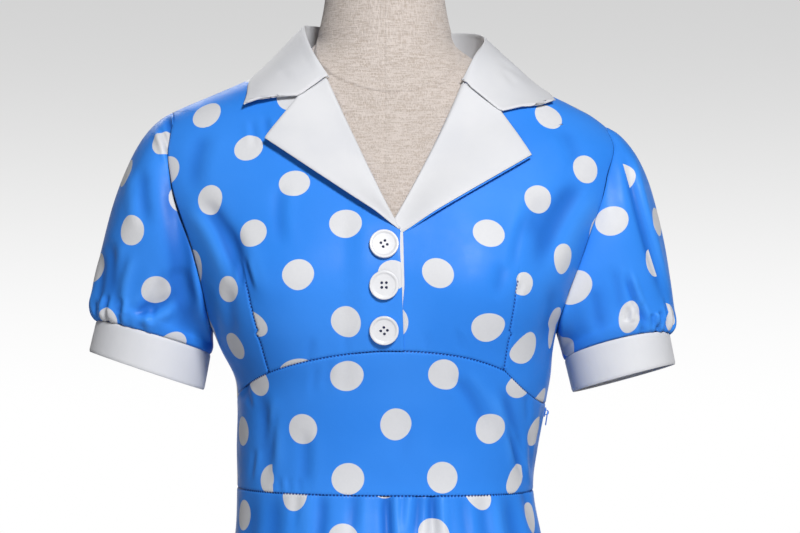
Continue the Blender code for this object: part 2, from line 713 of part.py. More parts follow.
def add_form(collection, finish):
    """The torso and neck as one smooth loft through the table's rows, closed at both ends."""
    rows = len(FORM) - 1
    bm = bmesh.new()
    bmesh.ops.create_grid(bm, x_segments=FORM_SIDES, y_segments=rows, size=1.0)
    flat = np.array([vert.co[:2] for vert in bm.verts]) / 2 + 0.5
    height = np.interp(flat[:, 1] * rows, np.arange(rows + 1), FORM[:, 0])
    points = on_figure(FORM, 2 * math.pi * flat[:, 0], height)
    for vert, point in zip(bm.verts, points):
        vert.co = point
    bmesh.ops.remove_doubles(bm, verts=bm.verts, dist=MERGE)
    bmesh.ops.holes_fill(bm, edges=[edge for edge in bm.edges if edge.is_boundary], sides=0)
    return keep("form_torso", bm, collection, finish)


def add_turned(name, profile, steps, collection, finish):
    """Turns a profile of radius and height, down its outer side, about Z."""
    bm = bmesh.new()
    verts = [bm.verts.new((radius, 0, z)) for radius, z in profile]
    for first, second in zip(verts, verts[1:]):
        bm.edges.new((first, second))
    bmesh.ops.remove_doubles(bm, verts=bm.verts, dist=MERGE)
    obj = keep(name, bm, collection, finish)
    turn = obj.modifiers.new("Turn", "SCREW")
    turn.steps = turn.render_steps = steps
    turn.use_merge_vertices = True
    turn.merge_threshold = MERGE
    return obj


def add_stand(collection, finish):
    """A round base plate, a socket that holds the pole on it, and the pole."""
    add_turned(
        "form_base",
        (
            (0.0, BASE_THICK),
            (BASE_RADIUS - BASE_EDGE, BASE_THICK),
            (BASE_RADIUS, BASE_THICK - BASE_EDGE),
            (BASE_RADIUS, 0.0),
            (0.0, 0.0),
        ),
        40,
        collection,
        finish,
    )
    foot, bore = BASE_THICK + TOUCH, POLE_RADIUS + TOUCH
    add_turned(
        "form_socket",
        (
            (bore, SOCKET_TOP_Z),
            (SOCKET_RADIUS - BASE_EDGE, SOCKET_TOP_Z),
            (SOCKET_RADIUS, SOCKET_TOP_Z - BASE_EDGE),
            (SOCKET_RADIUS, foot + 3 * BASE_EDGE),
            (SOCKET_RADIUS + 3 * BASE_EDGE, foot + BASE_EDGE),
            (SOCKET_RADIUS + 3 * BASE_EDGE, foot),
            (bore, foot),
            (bore, SOCKET_TOP_Z),
        ),
        24,
        collection,
        finish,
    )
    top = FORM[0, 0] - TOUCH
    bm = bmesh.new()
    bmesh.ops.create_cone(
        bm,
        cap_ends=True,
        segments=24,
        radius1=POLE_RADIUS,
        radius2=POLE_RADIUS,
        depth=top - foot,
    )
    bmesh.ops.translate(bm, verts=bm.verts, vec=(0, 0, (top + foot) / 2))
    keep("form_pole", bm, collection, finish)


def button_place(z):
    """Where a button's back is and which way it faces, on the lap of the right front."""
    x = np.zeros(1)
    lift = lap_lift("right", x, np.array([z])) + 1.5 * LAY
    near, far = (at_front(x, np.array([z]), lift + more)[0] for more in (0.0, 0.01))
    facing = (far - near) / np.linalg.norm(far - near)
    return near, facing


def add_buttons(collection, cutters, finish):
    """Round four-hole buttons with a raised rim."""
    floor = BUTTON_THICK - BUTTON_DISH
    profile = (
        (0.0, floor),
        (BUTTON_RADIUS - 2 * BUTTON_RIM, floor),
        (BUTTON_RADIUS - 1.4 * BUTTON_RIM, BUTTON_THICK),
        (BUTTON_RADIUS - 0.4 * BUTTON_RIM, BUTTON_THICK),
        (BUTTON_RADIUS, BUTTON_THICK / 2),
        (BUTTON_RADIUS - 0.5 * BUTTON_RIM, 0.0),
        (0.0, 0.0),
    )
    for number, (z, turn) in enumerate(zip(BUTTON_Z, BUTTON_TURN), 1):
        place, facing = button_place(z)
        seat = bpy.data.objects.new(f"seat_{number}", None)
        collection.objects.link(seat)
        seat.location = place
        pitch = math.atan2(-facing[2], -facing[1])
        yaw = math.atan2(facing[0], -facing[1])
        seat.rotation_euler = (math.pi / 2 + pitch, 0, yaw)
        button = add_turned(f"button_{number}", profile, 24, collection, finish)
        button.parent = seat
        button.rotation_euler.z = math.radians(turn)
        bm = bmesh.new()
        for quarter in range(4):
            around = math.radians(45 + 90 * quarter)
            made = bmesh.ops.create_cone(
                bm,
                cap_ends=True,
                segments=8,
                radius1=BUTTON_HOLE_RADIUS,
                radius2=BUTTON_HOLE_RADIUS,
                depth=4 * BUTTON_THICK,
            )
            aside = (math.cos(around) * BUTTON_HOLE_OUT, math.sin(around) * BUTTON_HOLE_OUT, 0)
            bmesh.ops.translate(bm, verts=made["verts"], vec=aside)
        holes = keep(f"holes_{number}", bm, cutters, finish)
        holes.parent = button
        hide(holes)
        cut = button.modifiers.new("Holes", "BOOLEAN")
        cut.operation = "DIFFERENCE"
        cut.object = holes


def main():
    clear_scene()
    dress = bpy.data.collections.new("a_line_dress_on_form")
    cutters = bpy.data.collections.new("cutters")
    for collection in (dress, cutters):
        bpy.context.scene.collection.children.link(collection)
    print_cloth = material("blue_dotted_satin", BLUE, 0.45)
    white_cloth = material("white_trim", WHITE, 0.60)
    linen = material("form_linen", LINEN, 0.90)
    shell = material("button_white", SHELL, 0.25)
    blue_metal = material("zip_blue", BLUE, 0.35)
    steel = material("stand_steel", STEEL, 0.35, 1.0)

    for side in ("right", "left"):
        sew(f"bodice_front_{side}", bodice_front(side), 11, BODICE_STEPS, dress, print_cloth)
        sew(f"sleeve_{side}", sleeve(side), 2 * ARMHOLE_STEPS, SLEEVE_STEPS, dress, print_cloth)
        sew(f"cuff_{side}", cuff(side), 2 * ARMHOLE_STEPS, 1, dress, white_cloth)
        sew(f"lapel_{side}", lapel(side), 6, 7, dress, white_cloth)
    sew("bodice_back", bodice_back(), 18, BODICE_STEPS, dress, print_cloth)
    sew("midriff_front", midriff(False), 16, 4, dress, print_cloth)
    sew("midriff_back", midriff(True), 14, 3, dress, print_cloth)
    sew("skirt_front", skirt(False), 30, 7, dress, print_cloth)
    sew("skirt_back", skirt(True), 30, 7, dress, print_cloth)
    sew("collar", collar(), 30, 6, dress, white_cloth)
    sew("facing_edge", facing_edge(), 1, 3, dress, white_cloth, thick=FACING_THICK)
    add_buttons(dress, cutters, shell)
    add_zip(dress, cutters, blue_metal)
    add_form(dress, linen)
    add_stand(dress, steel)


main()
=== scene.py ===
"""The a-line dress on its dress form: its satin, trim, buttons, zip and linen form.

Every cloth piece is cut flat, printed, and laid on the frame's sections as a fine thin wall. Its
edges are turned in where it is sewn, and its folds are placed one by one. Metres, +Z up. The dress
faces -Y, +X is the wearer's left, and an angle round the figure is 0 at the centre front, 90
degrees at the wearer's left side and 180 at the centre back.
"""

import json
import math

import bpy
import numpy as np
from mathutils import Matrix, Vector


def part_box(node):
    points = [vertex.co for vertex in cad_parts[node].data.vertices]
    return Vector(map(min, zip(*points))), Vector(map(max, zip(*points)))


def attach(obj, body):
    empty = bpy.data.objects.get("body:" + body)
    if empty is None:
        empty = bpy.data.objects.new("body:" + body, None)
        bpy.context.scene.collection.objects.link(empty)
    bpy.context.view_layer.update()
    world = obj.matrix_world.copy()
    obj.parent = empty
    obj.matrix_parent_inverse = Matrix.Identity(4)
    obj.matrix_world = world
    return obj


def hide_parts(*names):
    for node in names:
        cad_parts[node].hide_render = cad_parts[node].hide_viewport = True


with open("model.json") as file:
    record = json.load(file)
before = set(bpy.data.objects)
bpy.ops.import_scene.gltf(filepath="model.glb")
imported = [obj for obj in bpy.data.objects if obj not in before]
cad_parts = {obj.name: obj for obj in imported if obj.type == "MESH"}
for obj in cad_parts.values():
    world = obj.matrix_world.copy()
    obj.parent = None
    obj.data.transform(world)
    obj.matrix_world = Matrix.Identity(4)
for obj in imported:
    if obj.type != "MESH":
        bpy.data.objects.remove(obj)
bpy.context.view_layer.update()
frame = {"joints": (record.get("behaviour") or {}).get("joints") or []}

DRESS_BODY = "dress_on_form"
PULL_BODY = "zip_pull"
MM = 0.001

# ---------------------------------------------------------------- cloth and cut

SATIN = 0.0007  # wall of a satin piece
TRIM = 0.0013  # wall of a white piece, two layers pressed together
SEAM_DIP = 0.0007  # how far a sewn edge is turned in
SEAM_ROUND = 0.0011  # and how far from the edge the turn starts
FOLD_DIP = 0.0006  # the same for an edge that is folded back
SLEEVE_DIP = 0.0003  # and for a sleeve at its armhole
SATIN_CELL, TRIM_CELL = 0.0026, 0.0022
SLEEVE_CELL, BACK_CELL = 0.0016, 0.0032
SKIRT_CELL, SKIRT_ROW = 0.0027, 0.0066
EDGE_LINES = (0.0, 0.0005, 0.0011, 0.0019, 0.0031)  # the closer lines beside an edge that is turned in
FLAT_CELL, FLAT_MOST = 0.0065, 66  # of the coarse copies that are flattened, and their most cells
FLAT_BEND = 0.12  # change of pace from a row to the next that such a copy keeps

# Heights of the dress's seams
HEM_Z = 0.4
WAIST_Z = 1.04
UNDERBUST_SIDE_Z = 1.113
UNDERBUST_DART_Z = 1.143
UNDERBUST_FRONT_Z = 1.1605
UNDERBUST_ARC = {"right": 1.17, "left": 1.8}  # how the seam leaves its top
UNDERBUST_FALL = {"right": 0.9, "left": 2.6}  # and how it leaves the dart for the side
WAIST_TILT = 0.0013  # the waist seam is this much higher at its right end than in the middle
DART_ANGLE = math.radians(40)  # how far round the under-bust seam's arc ends

# Bust darts, as x and z of their foot and point
DARTS = {
    "right": ((-0.0966, 1.143), (-0.117, 1.223)),
    "left": ((0.0995, 1.143), (0.1106, 1.222)),
}
DART_DIP = 0.0012
DART_FADE = (0.03, 0.05)  # below and above its point, as shares of the rows, where a dart runs out
DART_STRAIGHT = 0.05  # above the point, where its column of cells runs straight up
DART_SHARE = 0.62  # of the width of a bodice front, where the dart's column of cells is

# The armhole, seen from the side: how deep it is before the side seam, going down from its tip
ARMPIT_Z = 1.175
TIP_Z = {"left": 1.35, "right": 1.362}
ARMHOLE_FRONT = np.array(
    (
        # share of the way down, left, right
        (0.0, 0.0, 0.0),
        (0.06, 0.01, 0.015),
        (0.12, 0.0185, 0.0275),
        (0.2, 0.0285, 0.0378),
        (0.35, 0.046, 0.0505),
        (0.49, 0.052, 0.061),
        (0.62, 0.054, 0.0672),
        (0.72, 0.0535, 0.0612),
        (0.8, 0.05, 0.05),
        (0.88, 0.039, 0.036),
        (0.95, 0.02, 0.0185),
        (1.0, 0.0, 0.0),
    )
)
ARMHOLE_BACK = 0.056  # how deep it is behind the side seam
ARMHOLE_SQUARE = 2.2  # and how square it is there, where 2 would be an ellipse
ARMHOLE_STEPS = 9  # levels up the armhole, and those below and above it
SIDE_STEPS = 2
SHOULDER_STEPS = 3
BODICE_STEPS = SIDE_STEPS + ARMHOLE_STEPS + SHOULDER_STEPS

NECK_Z = {"left": 1.407, "right": 1.4187}
SIDE_SIGN = {"left": 1, "right": -1}

# The front opening: the edge of the right front, and that of the left front under it
LAP_EDGE_TOP_X = 0.0135
LAP_EDGE_FOOT_X = 0.0163
UNDERLAP_X = -0.012
UNDERLAP_ENDS = 0.02  # how far below the break the left front's edge leaves for its lapel
LAP_LIFT = 0.0029  # how far the right front stands out over the left one
LAP_RAMP_X = (-0.034, -0.015)  # where it rises to that
LAP_FADE_Z = 1.292  # and up to where it sinks again, from the break
LAP_FOOT_Z, LAP_FOOT_SHARE = (1.157, 1.19), 0.35  # near its foot the lap lies flatter

# Outer surface of the dress from hem to neck. A section's half widths lie left and right of the
# middle, its depths before and behind the side seams, and a square of 2 makes it an ellipse.
DRESS = np.array(
    (
        # z, left, right, front, back, front square, back square
        (0.4, 0.308, 0.308, 0.28, 0.28, 2.0, 2.0),
        (0.55, 0.268, 0.268, 0.243, 0.244, 2.0, 2.0),
        (0.7, 0.225, 0.224, 0.202, 0.203, 2.0, 2.0),
        (0.85, 0.179, 0.176, 0.154, 0.155, 2.05, 2.05),
        (0.9, 0.163, 0.159, 0.137, 0.137, 2.1, 2.1),
        (0.95, 0.148, 0.143, 0.121, 0.119, 2.15, 2.15),
        (1.0, 0.135, 0.129, 0.106, 0.103, 2.25, 2.25),
        (1.04, 0.127, 0.1265, 0.098, 0.093, 2.3, 2.3),
        (1.075, 0.131, 0.127, 0.101, 0.094, 2.3, 2.3),
        (1.113, 0.138, 0.127, 0.108, 0.097, 2.4, 2.3),
        (1.135, 0.142, 0.1285, 0.113, 0.1, 2.5, 2.35),
        (1.159, 0.144, 0.14, 0.119, 0.103, 2.6, 2.4),
        (1.175, 0.147, 0.147, 0.122, 0.105, 2.7, 2.4),
        (1.193, 0.155, 0.155, 0.124, 0.106, 2.75, 2.4),
        (1.215, 0.164, 0.164, 0.125, 0.1075, 2.75, 2.4),
        (1.23, 0.171, 0.171, 0.124, 0.108, 2.65, 2.35),
        (1.26, 0.185, 0.185, 0.117, 0.108, 2.45, 2.3),
        (1.304, 0.205, 0.205, 0.1, 0.104, 2.2, 2.2),
        (1.335, 0.204, 0.208, 0.086, 0.095, 2.05, 2.1),
        (1.35, 0.1895, 0.199, 0.079, 0.089, 2.0, 2.0),
        (1.362, 0.1728, 0.182, 0.0745, 0.084, 2.0, 2.0),
        (1.378, 0.14, 0.1465, 0.07, 0.0785, 2.0, 2.0),
        (1.39, 0.116, 0.1178, 0.0665, 0.075, 2.0, 2.0),
        (1.41, 0.08, 0.08, 0.061, 0.067, 2.0, 2.0),
        (1.42, 0.064, 0.065, 0.0585, 0.0635, 2.0, 2.0),
    )
)

# The dress form, in the same columns
FORM = np.array(
    (
        # z, left, right, front, back, front square, back square
        (0.83, 0.148, 0.148, 0.096, 0.108, 2.1, 2.1),
        (0.86, 0.158, 0.158, 0.102, 0.116, 2.1, 2.1),
        (0.9, 0.152, 0.152, 0.103, 0.115, 2.1, 2.1),
        (0.95, 0.137, 0.137, 0.101, 0.104, 2.15, 2.15),
        (1.0, 0.124, 0.124, 0.097, 0.092, 2.25, 2.25),
        (1.04, 0.12, 0.12, 0.092, 0.0865, 2.3, 2.3),
        (1.075, 0.1205, 0.1205, 0.0945, 0.087, 2.3, 2.3),
        (1.113, 0.121, 0.121, 0.101, 0.09, 2.4, 2.3),
        (1.135, 0.1225, 0.1225, 0.106, 0.093, 2.5, 2.35),
        (1.159, 0.132, 0.132, 0.1115, 0.0965, 2.6, 2.4),
        (1.175, 0.139, 0.139, 0.115, 0.0985, 2.7, 2.4),
        (1.193, 0.144, 0.144, 0.117, 0.1, 2.75, 2.4),
        (1.215, 0.148, 0.148, 0.118, 0.1015, 2.75, 2.4),
        (1.23, 0.151, 0.151, 0.117, 0.102, 2.65, 2.35),
        (1.26, 0.16, 0.16, 0.111, 0.103, 2.45, 2.3),
        (1.304, 0.176, 0.176, 0.0955, 0.1, 2.2, 2.2),
        (1.335, 0.182, 0.183, 0.0825, 0.0915, 2.05, 2.1),
        (1.35, 0.177, 0.182, 0.075, 0.0855, 2.0, 2.0),
        (1.362, 0.163, 0.17, 0.0704, 0.0804, 2.0, 2.0),
        (1.378, 0.132, 0.139, 0.066, 0.0748, 2.0, 2.0),
        (1.39, 0.1085, 0.111, 0.0614, 0.0703, 2.0, 2.0),
        (1.41, 0.0725, 0.073, 0.0556, 0.062, 2.0, 2.0),
        (1.42, 0.06, 0.0605, 0.0535, 0.0595, 2.0, 2.0),
        (1.433, 0.0565, 0.0565, 0.0515, 0.058, 2.0, 2.0),
        (1.459, 0.0515, 0.0515, 0.047, 0.054, 2.0, 2.0),
        (1.492, 0.05, 0.05, 0.044, 0.0525, 2.0, 2.0),
    )
)

# The bust, two soft mounds on the front of both
BUST_X, BUST_Z = 0.082, 1.213
BUST_OUT, BUST_WIDE, BUST_TALL = 0.0075, 0.036, 0.034

# The skirt's flares
FLARE_DEPTH = 0.015
FLARES = np.array(
    (
        # waves round the hem, share of the depth, turn
        (6, 0.5, 0.6),
        (9, 0.4, 2.1),
        (13, 0.25, 4.4),
    )
)

# Lapels seen from the front, as x and z of their corners on each side
NOTCHES = {
    # break, gorge, notch, tip
    "right": ((0.0135, 1.259), (-0.0486, 1.389), (-0.0714, 1.3729), (-0.0984, 1.3337)),
    "left": ((-0.0057, 1.2457), (0.0655, 1.385), (0.0969, 1.3598), (0.1211, 1.3206)),
}
NOTCH_SHARE = 0.42  # of the lapel's upper edge, where its notch is
NOTCH_POWER = 6  # how late up the lapel the notch shows
# How far the front's edge stays behind the collar's roll, and where it starts to, from the gorge
NECK_SHY, NECK_SHY_Z = {"right": 0.0045, "left": 0.003}, (-0.012, 0.006)
LAPEL_FOOT = 0.012  # share of the lapel that is left off at the break, where it comes to a point
LAPEL_LIFT = {"right": 0.0092, "left": 0.0076}  # of its outer edge, off the front
LAPEL_RISES_AT = 0.1  # share across the lapel where it starts to lift
LAPEL_RISE = {"right": (0.0, 0.22), "left": (0.14, 0.4)}  # up the lapel, where it leaves the front
ROLL_RADIUS = 0.0016  # of the turned edge
ROLL_INSIDE = 0.008  # of the facing behind the turned edge
ROLL_INSIDE_MOST = 0.7  # and the most of the lapel's width that it may be
ROLL_AT = 0.22  # share of a lapel's cells that are behind its roll
ROLL_CELLS = 15  # lines that those cells have
ROLL_FLAT = 0.35  # share of them that are the flat facing
UNDER_LOW, UNDER_SHOWS = 0.0019, 0.0011  # the satin under the left lapel: how low, and what shows
UNDER_FROM, UNDER_SHARE = 0.7, 0.3  # where across the lapel it starts, and the rest
ROLL_BOW = {"right": 0.0008, "left": 0.0032}  # how far the roll line is bowed outwards

# The collar, from the right front round the neck to the left front
COLLAR = np.array(
    (
        # foot angle, foot z, roll x, roll y, roll z, edge angle, edge z
        (-23.0, 1.39, -0.0482, -0.0648, 1.3905, -40.4, 1.365),
        (-46.0, 1.407, -0.0612, -0.0478, 1.4125, -56.0, 1.381),
        (-88.0, 1.417, -0.069, -0.006, 1.435, -88.0, 1.394),
        (-122.0, 1.415, -0.0645, 0.033, 1.4395, -120.0, 1.388),
        (-152.0, 1.413, -0.04, 0.062, 1.439, -150.0, 1.385),
        (-187.0, 1.412, 0.008, 0.0735, 1.4375, -184.0, 1.384),
        (-220.0, 1.4095, 0.056, 0.06, 1.4355, -215.0, 1.385),
        (-245.0, 1.408, 0.079, 0.03, 1.4325, -242.0, 1.385),
        (-272.0, 1.406, 0.0855, -0.008, 1.4245, -270.0, 1.3815),
        (-304.5, 1.403, 0.0765, -0.043, 1.4085, -281.0, 1.3755),
        (-325.0, 1.387, 0.0655, -0.0605, 1.387, -295.0, 1.3681),
    )
)
COLLAR_LIFT = 0.0018  # of the fall's edge, off the front and back
FALL_BULGE = 0.0009  # how far the fall is rounded out, away from the middle
COLLAR_MIDDLE = np.array((0.008, 0.0, 1.33))
COLLAR_ROUND = 0.0045  # cloth that the roll takes on each side
STAND_LEAST, STAND_ROUND_MOST = 0.002, 0.6  # the stand's least height, and the roll's most of it
# The front edges of the collar's fall, from its roll to its tip
COLLAR_ENDS = {
    # share of the fall, x, z, height over the front
    "right": (
        (0.0, -0.0474, 1.3897, 0.0026),
        (0.33, -0.0707, 1.3719, 0.0046),
        (0.6, -0.0897, 1.3706, 0.0058),
        (0.82, -0.1056, 1.368, 0.0068),
        (1.0, -0.117, 1.3642, 0.0068),
    ),
    "left": (
        (0.0, 0.0645, 1.3858, 0.0025),
        (0.42, 0.0962, 1.3588, 0.0042),
        (0.62, 0.1133, 1.3628, 0.005),
        (0.84, 0.1284, 1.3645, 0.005),
        (1.0, 0.1408, 1.3683, 0.0052),
    ),
}
COLLAR_END_REACH = 0.13  # share of the collar's length that its ends shape

# Sleeves and cuffs
CUFFS = {
    "right": {
        "top_out": (-0.2479, 1.1831),
        "top_in": (-0.1498, 1.1545),
        "foot_out": (-0.2544, 1.157),
        "foot_in": (-0.1556, 1.1239),
        "pitch_top": 0.01,
        "pitch_foot": 0.004,
        "puff_out": 0.12,
        "leave": (0.82, -0.34),
    },
    "left": {
        "top_out": (0.245, 1.1712),
        "top_in": (0.1545, 1.15),
        "foot_out": (0.25, 1.146),
        "foot_in": (0.161, 1.122),
        "pitch_top": 0.018,
        "pitch_foot": 0.008,
        "puff_out": 0.1,
        "leave": (0.82, -0.31),
    },
}
CUFF_HALF_DEPTH = 0.045
PUFF_RISE, PUFF_OUT = 0.018, 0.0085  # of the fullest ring, above the cuff and outside it
RISE_INNER = 0.35  # share of that rise on the inner side of the arm
DRAWN_SHARE = 0.25  # share of a sleeve's length that is drawn into its cuff
LEAVE_ARMPIT = (0.25, -0.95)  # the way a sleeve leaves the armpit, as x and z
LEAVE_FORWARD = 0.32  # and how far it leaves forwards and backwards between
SLEEVE_ARRIVE = 0.535  # how straight it comes down to its fullest ring

# Buttons
BUTTON_Z = (1.2472, 1.2147, 1.1783)
BUTTON_TURN = (30, 0, 50)
BUTTON_RADIUS = 0.012
BUTTON_THICK = 0.0034
BUTTON_RIM, BUTTON_SLOPE, BUTTON_DISH = 0.0018, 0.001, 0.0009
BUTTON_EDGE = 0.0007  # rounding of its edges
BUTTON_SEAT = 0.00075  # under a button, where its thread holds it off the cloth
HOLE_RADIUS, HOLE_OUT = 0.0012, 0.0027
THREAD_LOW = 0.0003  # how far the thread stays below the dish
THREAD_FREE, THREAD_EDGE = 0.00015, 0.0003  # its play in a hole, and its rounding

# The rolled edge of the facing: its wall, its ends, what lies under the lap and what shows
FACING_WALL, FACING_DIP = 0.0009, 0.0004
FACING_FOOT_Z, FACING_BELOW_BREAK = 1.195, 0.001
FACING_INSIDE, FACING_SHOWS = 0.004, 0.002
FACING_GROWS = 0.35  # share of its length over which it comes out
FACING_CELLS = (0.0006, 0.0016)

# Zip
ZIP_Z = 1.105
SLIDER_TALL, SLIDER_WIDE, SLIDER_THICK = 0.008, 0.005, 0.0016
SLIDER_EDGE, SLIDER_FOOT = 0.0005, 0.6  # its rounding, and the width of its foot as a share
SLIDER_PANEL, SLIDER_SUNK = 0.0009, 0.0003  # the rim round its face, and how deep the face is
ZIP_GAP = 0.0003  # between the slider and the cloth, and the loop and the slider
LOOP_RADIUS, LOOP_WIRE = 0.002, 0.00045
PULL_WIDE, PULL_LONG, PULL_THICK = 0.0042, 0.012, 0.0009
PULL_TOP, PULL_EYE_WIDE, PULL_EYE_LONG = 0.001, 0.0016, 0.003
# The metal above its slot, the width of its head as a share, and its rounding
PULL_ABOVE_EYE, PULL_HEAD, PULL_EDGE = 0.0008, 0.72, 0.00028
PULL_LEAN = math.radians(9)

# Stand: the base's crown, rounding, lip and flat middle
BASE_CROWN, BASE_EDGE, BASE_LIP, BASE_FLAT = 0.003, 0.0022, 0.012, 0.045
# The socket's foot, the step in from it and the slope above it
SOCKET_FOOT, SOCKET_STEP, SOCKET_SLOPE = 0.003, 0.0072, 0.0045
BORE_GAP, BORE_TOP = 0.0003, 0.2  # round the pole, and higher than the socket
STAND_EDGE = 0.0016
STAND_SIDES, POLE_SIDES = 96, 64

# The form's cover: where its neck seam is, as turns from the front in degrees and heights
NECK_SEAM = np.array(
    (
        (-180, 1.43),
        (-90, 1.4235),
        (-60, 1.412),
        (-31, 1.3956),
        (-13, 1.3829),
        (0, 1.3757),
        (16, 1.3796),
        (37, 1.3965),
        (63, 1.4088),
        (90, 1.4215),
        (180, 1.43),
    )
)
SEAM_BAND = 0.005  # above and below the neck seam, where the cover's rows are close
COVER_DIP, COVER_DIP_WIDE = 0.0009, 0.0009  # the neck seam's groove
COVER_RIDGE, COVER_RIDGE_UP, COVER_RIDGE_WIDE = 0.0005, 0.0024, 0.0014  # and the ridge above it
LONG_SEAM_DIP, LONG_SEAM_WIDE = 0.0005, math.radians(0.45)
COVER_LINES = np.radians((0.0, 0.35, 0.8, 1.5, 2.6))  # the closer columns beside a long seam
COVER_MIDDLE_Y = 0.004  # where the cover closes, below and above
COVER_RINGS = (3, 96, 21, 26, 4)  # below, to the neck seam, across it, above it, and on top
COVER_SIDES = 176
COVER_TOP_ROUND = 0.004

# ---------------------------------------------------------------- print

DOT_RADIUS = 0.013
DOT_ACROSS, DOT_UP = 0.079, 0.086  # the dots' repeat, with another dot in its middle
STITCH_LONG, STITCH_WIDE = 0.003, 0.0012

# Points of each front piece, in millimetres, and where they lie on the printed cloth, in repeats
# from one of its dots. A dot's edge is 0.165 repeats across and 0.151 up from its middle.
PRINT_POINTS = {
    "bodice_front_right": (
        # x, z, repeats across, repeats up
        (-32, 1265, 0, 0),
        (-109, 1257, -1, 0),
        (-70, 1224, -0.5, -0.5),
        (-32, 1187, 0, -1),
        (-96, 1177, -0.835, -1),
        (-67, 1155, -0.5, -1.349),
        (-75, 1299, -0.5, 0.5),
        (-147, 1288, -1.5, 0.5),
        (-113, 1328, -1, 1),
        (-149, 1357, -1.5, 1.5),
        (-113, 1386, -1, 1.78),
        (-78, 1361, -0.5, 1.349),
        (-151, 1235, -1.835, 0),
        (-130, 1210, -1.5, -0.5),
        (-127, 1165, -2, -1),
        (-173, 1315, -1.835, 1),
        (-5, 1226, 0.335, -0.5),
    ),
    "bodice_front_left": (
        (86, 1257, 0, 0),
        (44, 1225, -0.5, -0.5),
        (84, 1179, 0, -1),
        (128, 1286, 0.5, 0.5),
        (169, 1312, 1, 1),
        (139, 1346, 0.5, 1.349),
        (149, 1353, 0.665, 1.5),
        (148, 1237, 1, 0),
        (115, 1214, 0.5, -0.5),
        (120, 1160, 1, -1),
        (143, 1186, 1.5, -0.5),
        (20, 1187, -0.835, -1),
    ),
    "midriff_front": (
        (9, 1100, 0, 0),
        (-68, 1095, -1, 0),
        (87, 1095, 1, 0),
        (-30, 1140, -0.5, 0.5),
        (49, 1142, 0.5, 0.5),
        (-30, 1054, -0.5, -0.5),
        (49, 1055, 0.5, -0.5),
        (-113, 1133, -1.665, 0.5),
        (-103, 1123, -1.5, 0.349),
        (102, 1133, 1.335, 0.5),
        (112, 1121, 1.5, 0.349),
        (122, 1090, 1.87, 0),
        (107, 1052, 1.41, -0.5),
        (-105, 1052, -1.665, -0.5),
        (-113, 1091, -1.835, 0),
    ),
    "skirt_front": (
        (-75, 1027, -1, -0.151),
        (1, 1038, 0, -0.151),
        (80, 1027, 1, -0.151),
        (-34, 1017, -0.5, -0.349),
        (39, 1022, 0.5, -0.349),
        (-118, 1019, -2, 0),
        (123, 1014, 2, 0),
    ),
    "sleeve_right": (
        (-214, 1260, 0, 0),
        (-191, 1210, 0.5, -0.5),
        (-182, 1292, 0.335, 0.5),
        (-189, 1335, 0, 1),
        (-216, 1308, -0.335, 0.5),
        (-227, 1182, 0.165, -1),
        (-174, 1175, 1, -0.849),
        (-171, 1161, 1.165, -1),
    ),
    "sleeve_left": (
        (191, 1269, 0, 0),
        (208, 1189, 0, -1),
        (175, 1218, -0.335, -0.5),
        (221, 1235, 0.335, -0.5),
        (214, 1309, 0.665, 0.5),
        (226, 1267, 0.835, 0),
        (241, 1188, 0.88, -1),
        (160, 1167, -0.835, -1),
    ),
}
PRINT_EASE = 0.055  # how far round such a point the print is eased to it
PRINT_SLACK = 0.1  # how loosely: at 0 it would meet each point exactly
PRINT_TRIES, PRINT_TRUST = 12, 0.005  # rounds of the fit, and the miss that halves a point's say
LOOK_NEAR = 0.0016  # how near to such a point the cloth is read
DART_APART = 0.2  # how far apart the cloth on the two sides of a dart counts

# Where the pieces with no such points lie on the printed cloth
PRINT_BEHIND = {
    # degrees, across, up
    "lapel_left_under": (-30.0, 0.01, 0.034),
    "bodice_back": (1.5, 0.043, 0.012),
    "midriff_back": (-0.6, 0.052, 0.031),
    "skirt_back": (0.8, 0.012, 0.06),
}

# ---------------------------------------------------------------- folds

SEEN_FROM = (-0.05, 0.25)  # how far the cloth faces the viewer where a fold sets in and is whole
FOLD_STARTS, FOLD_STOPS = (-0.12, 0.22), (0.6, 1.12)  # shares of a fold where it sets in and runs out
ROLL_BESIDE = 1.45  # widths beside a fold, where the cloth is raised

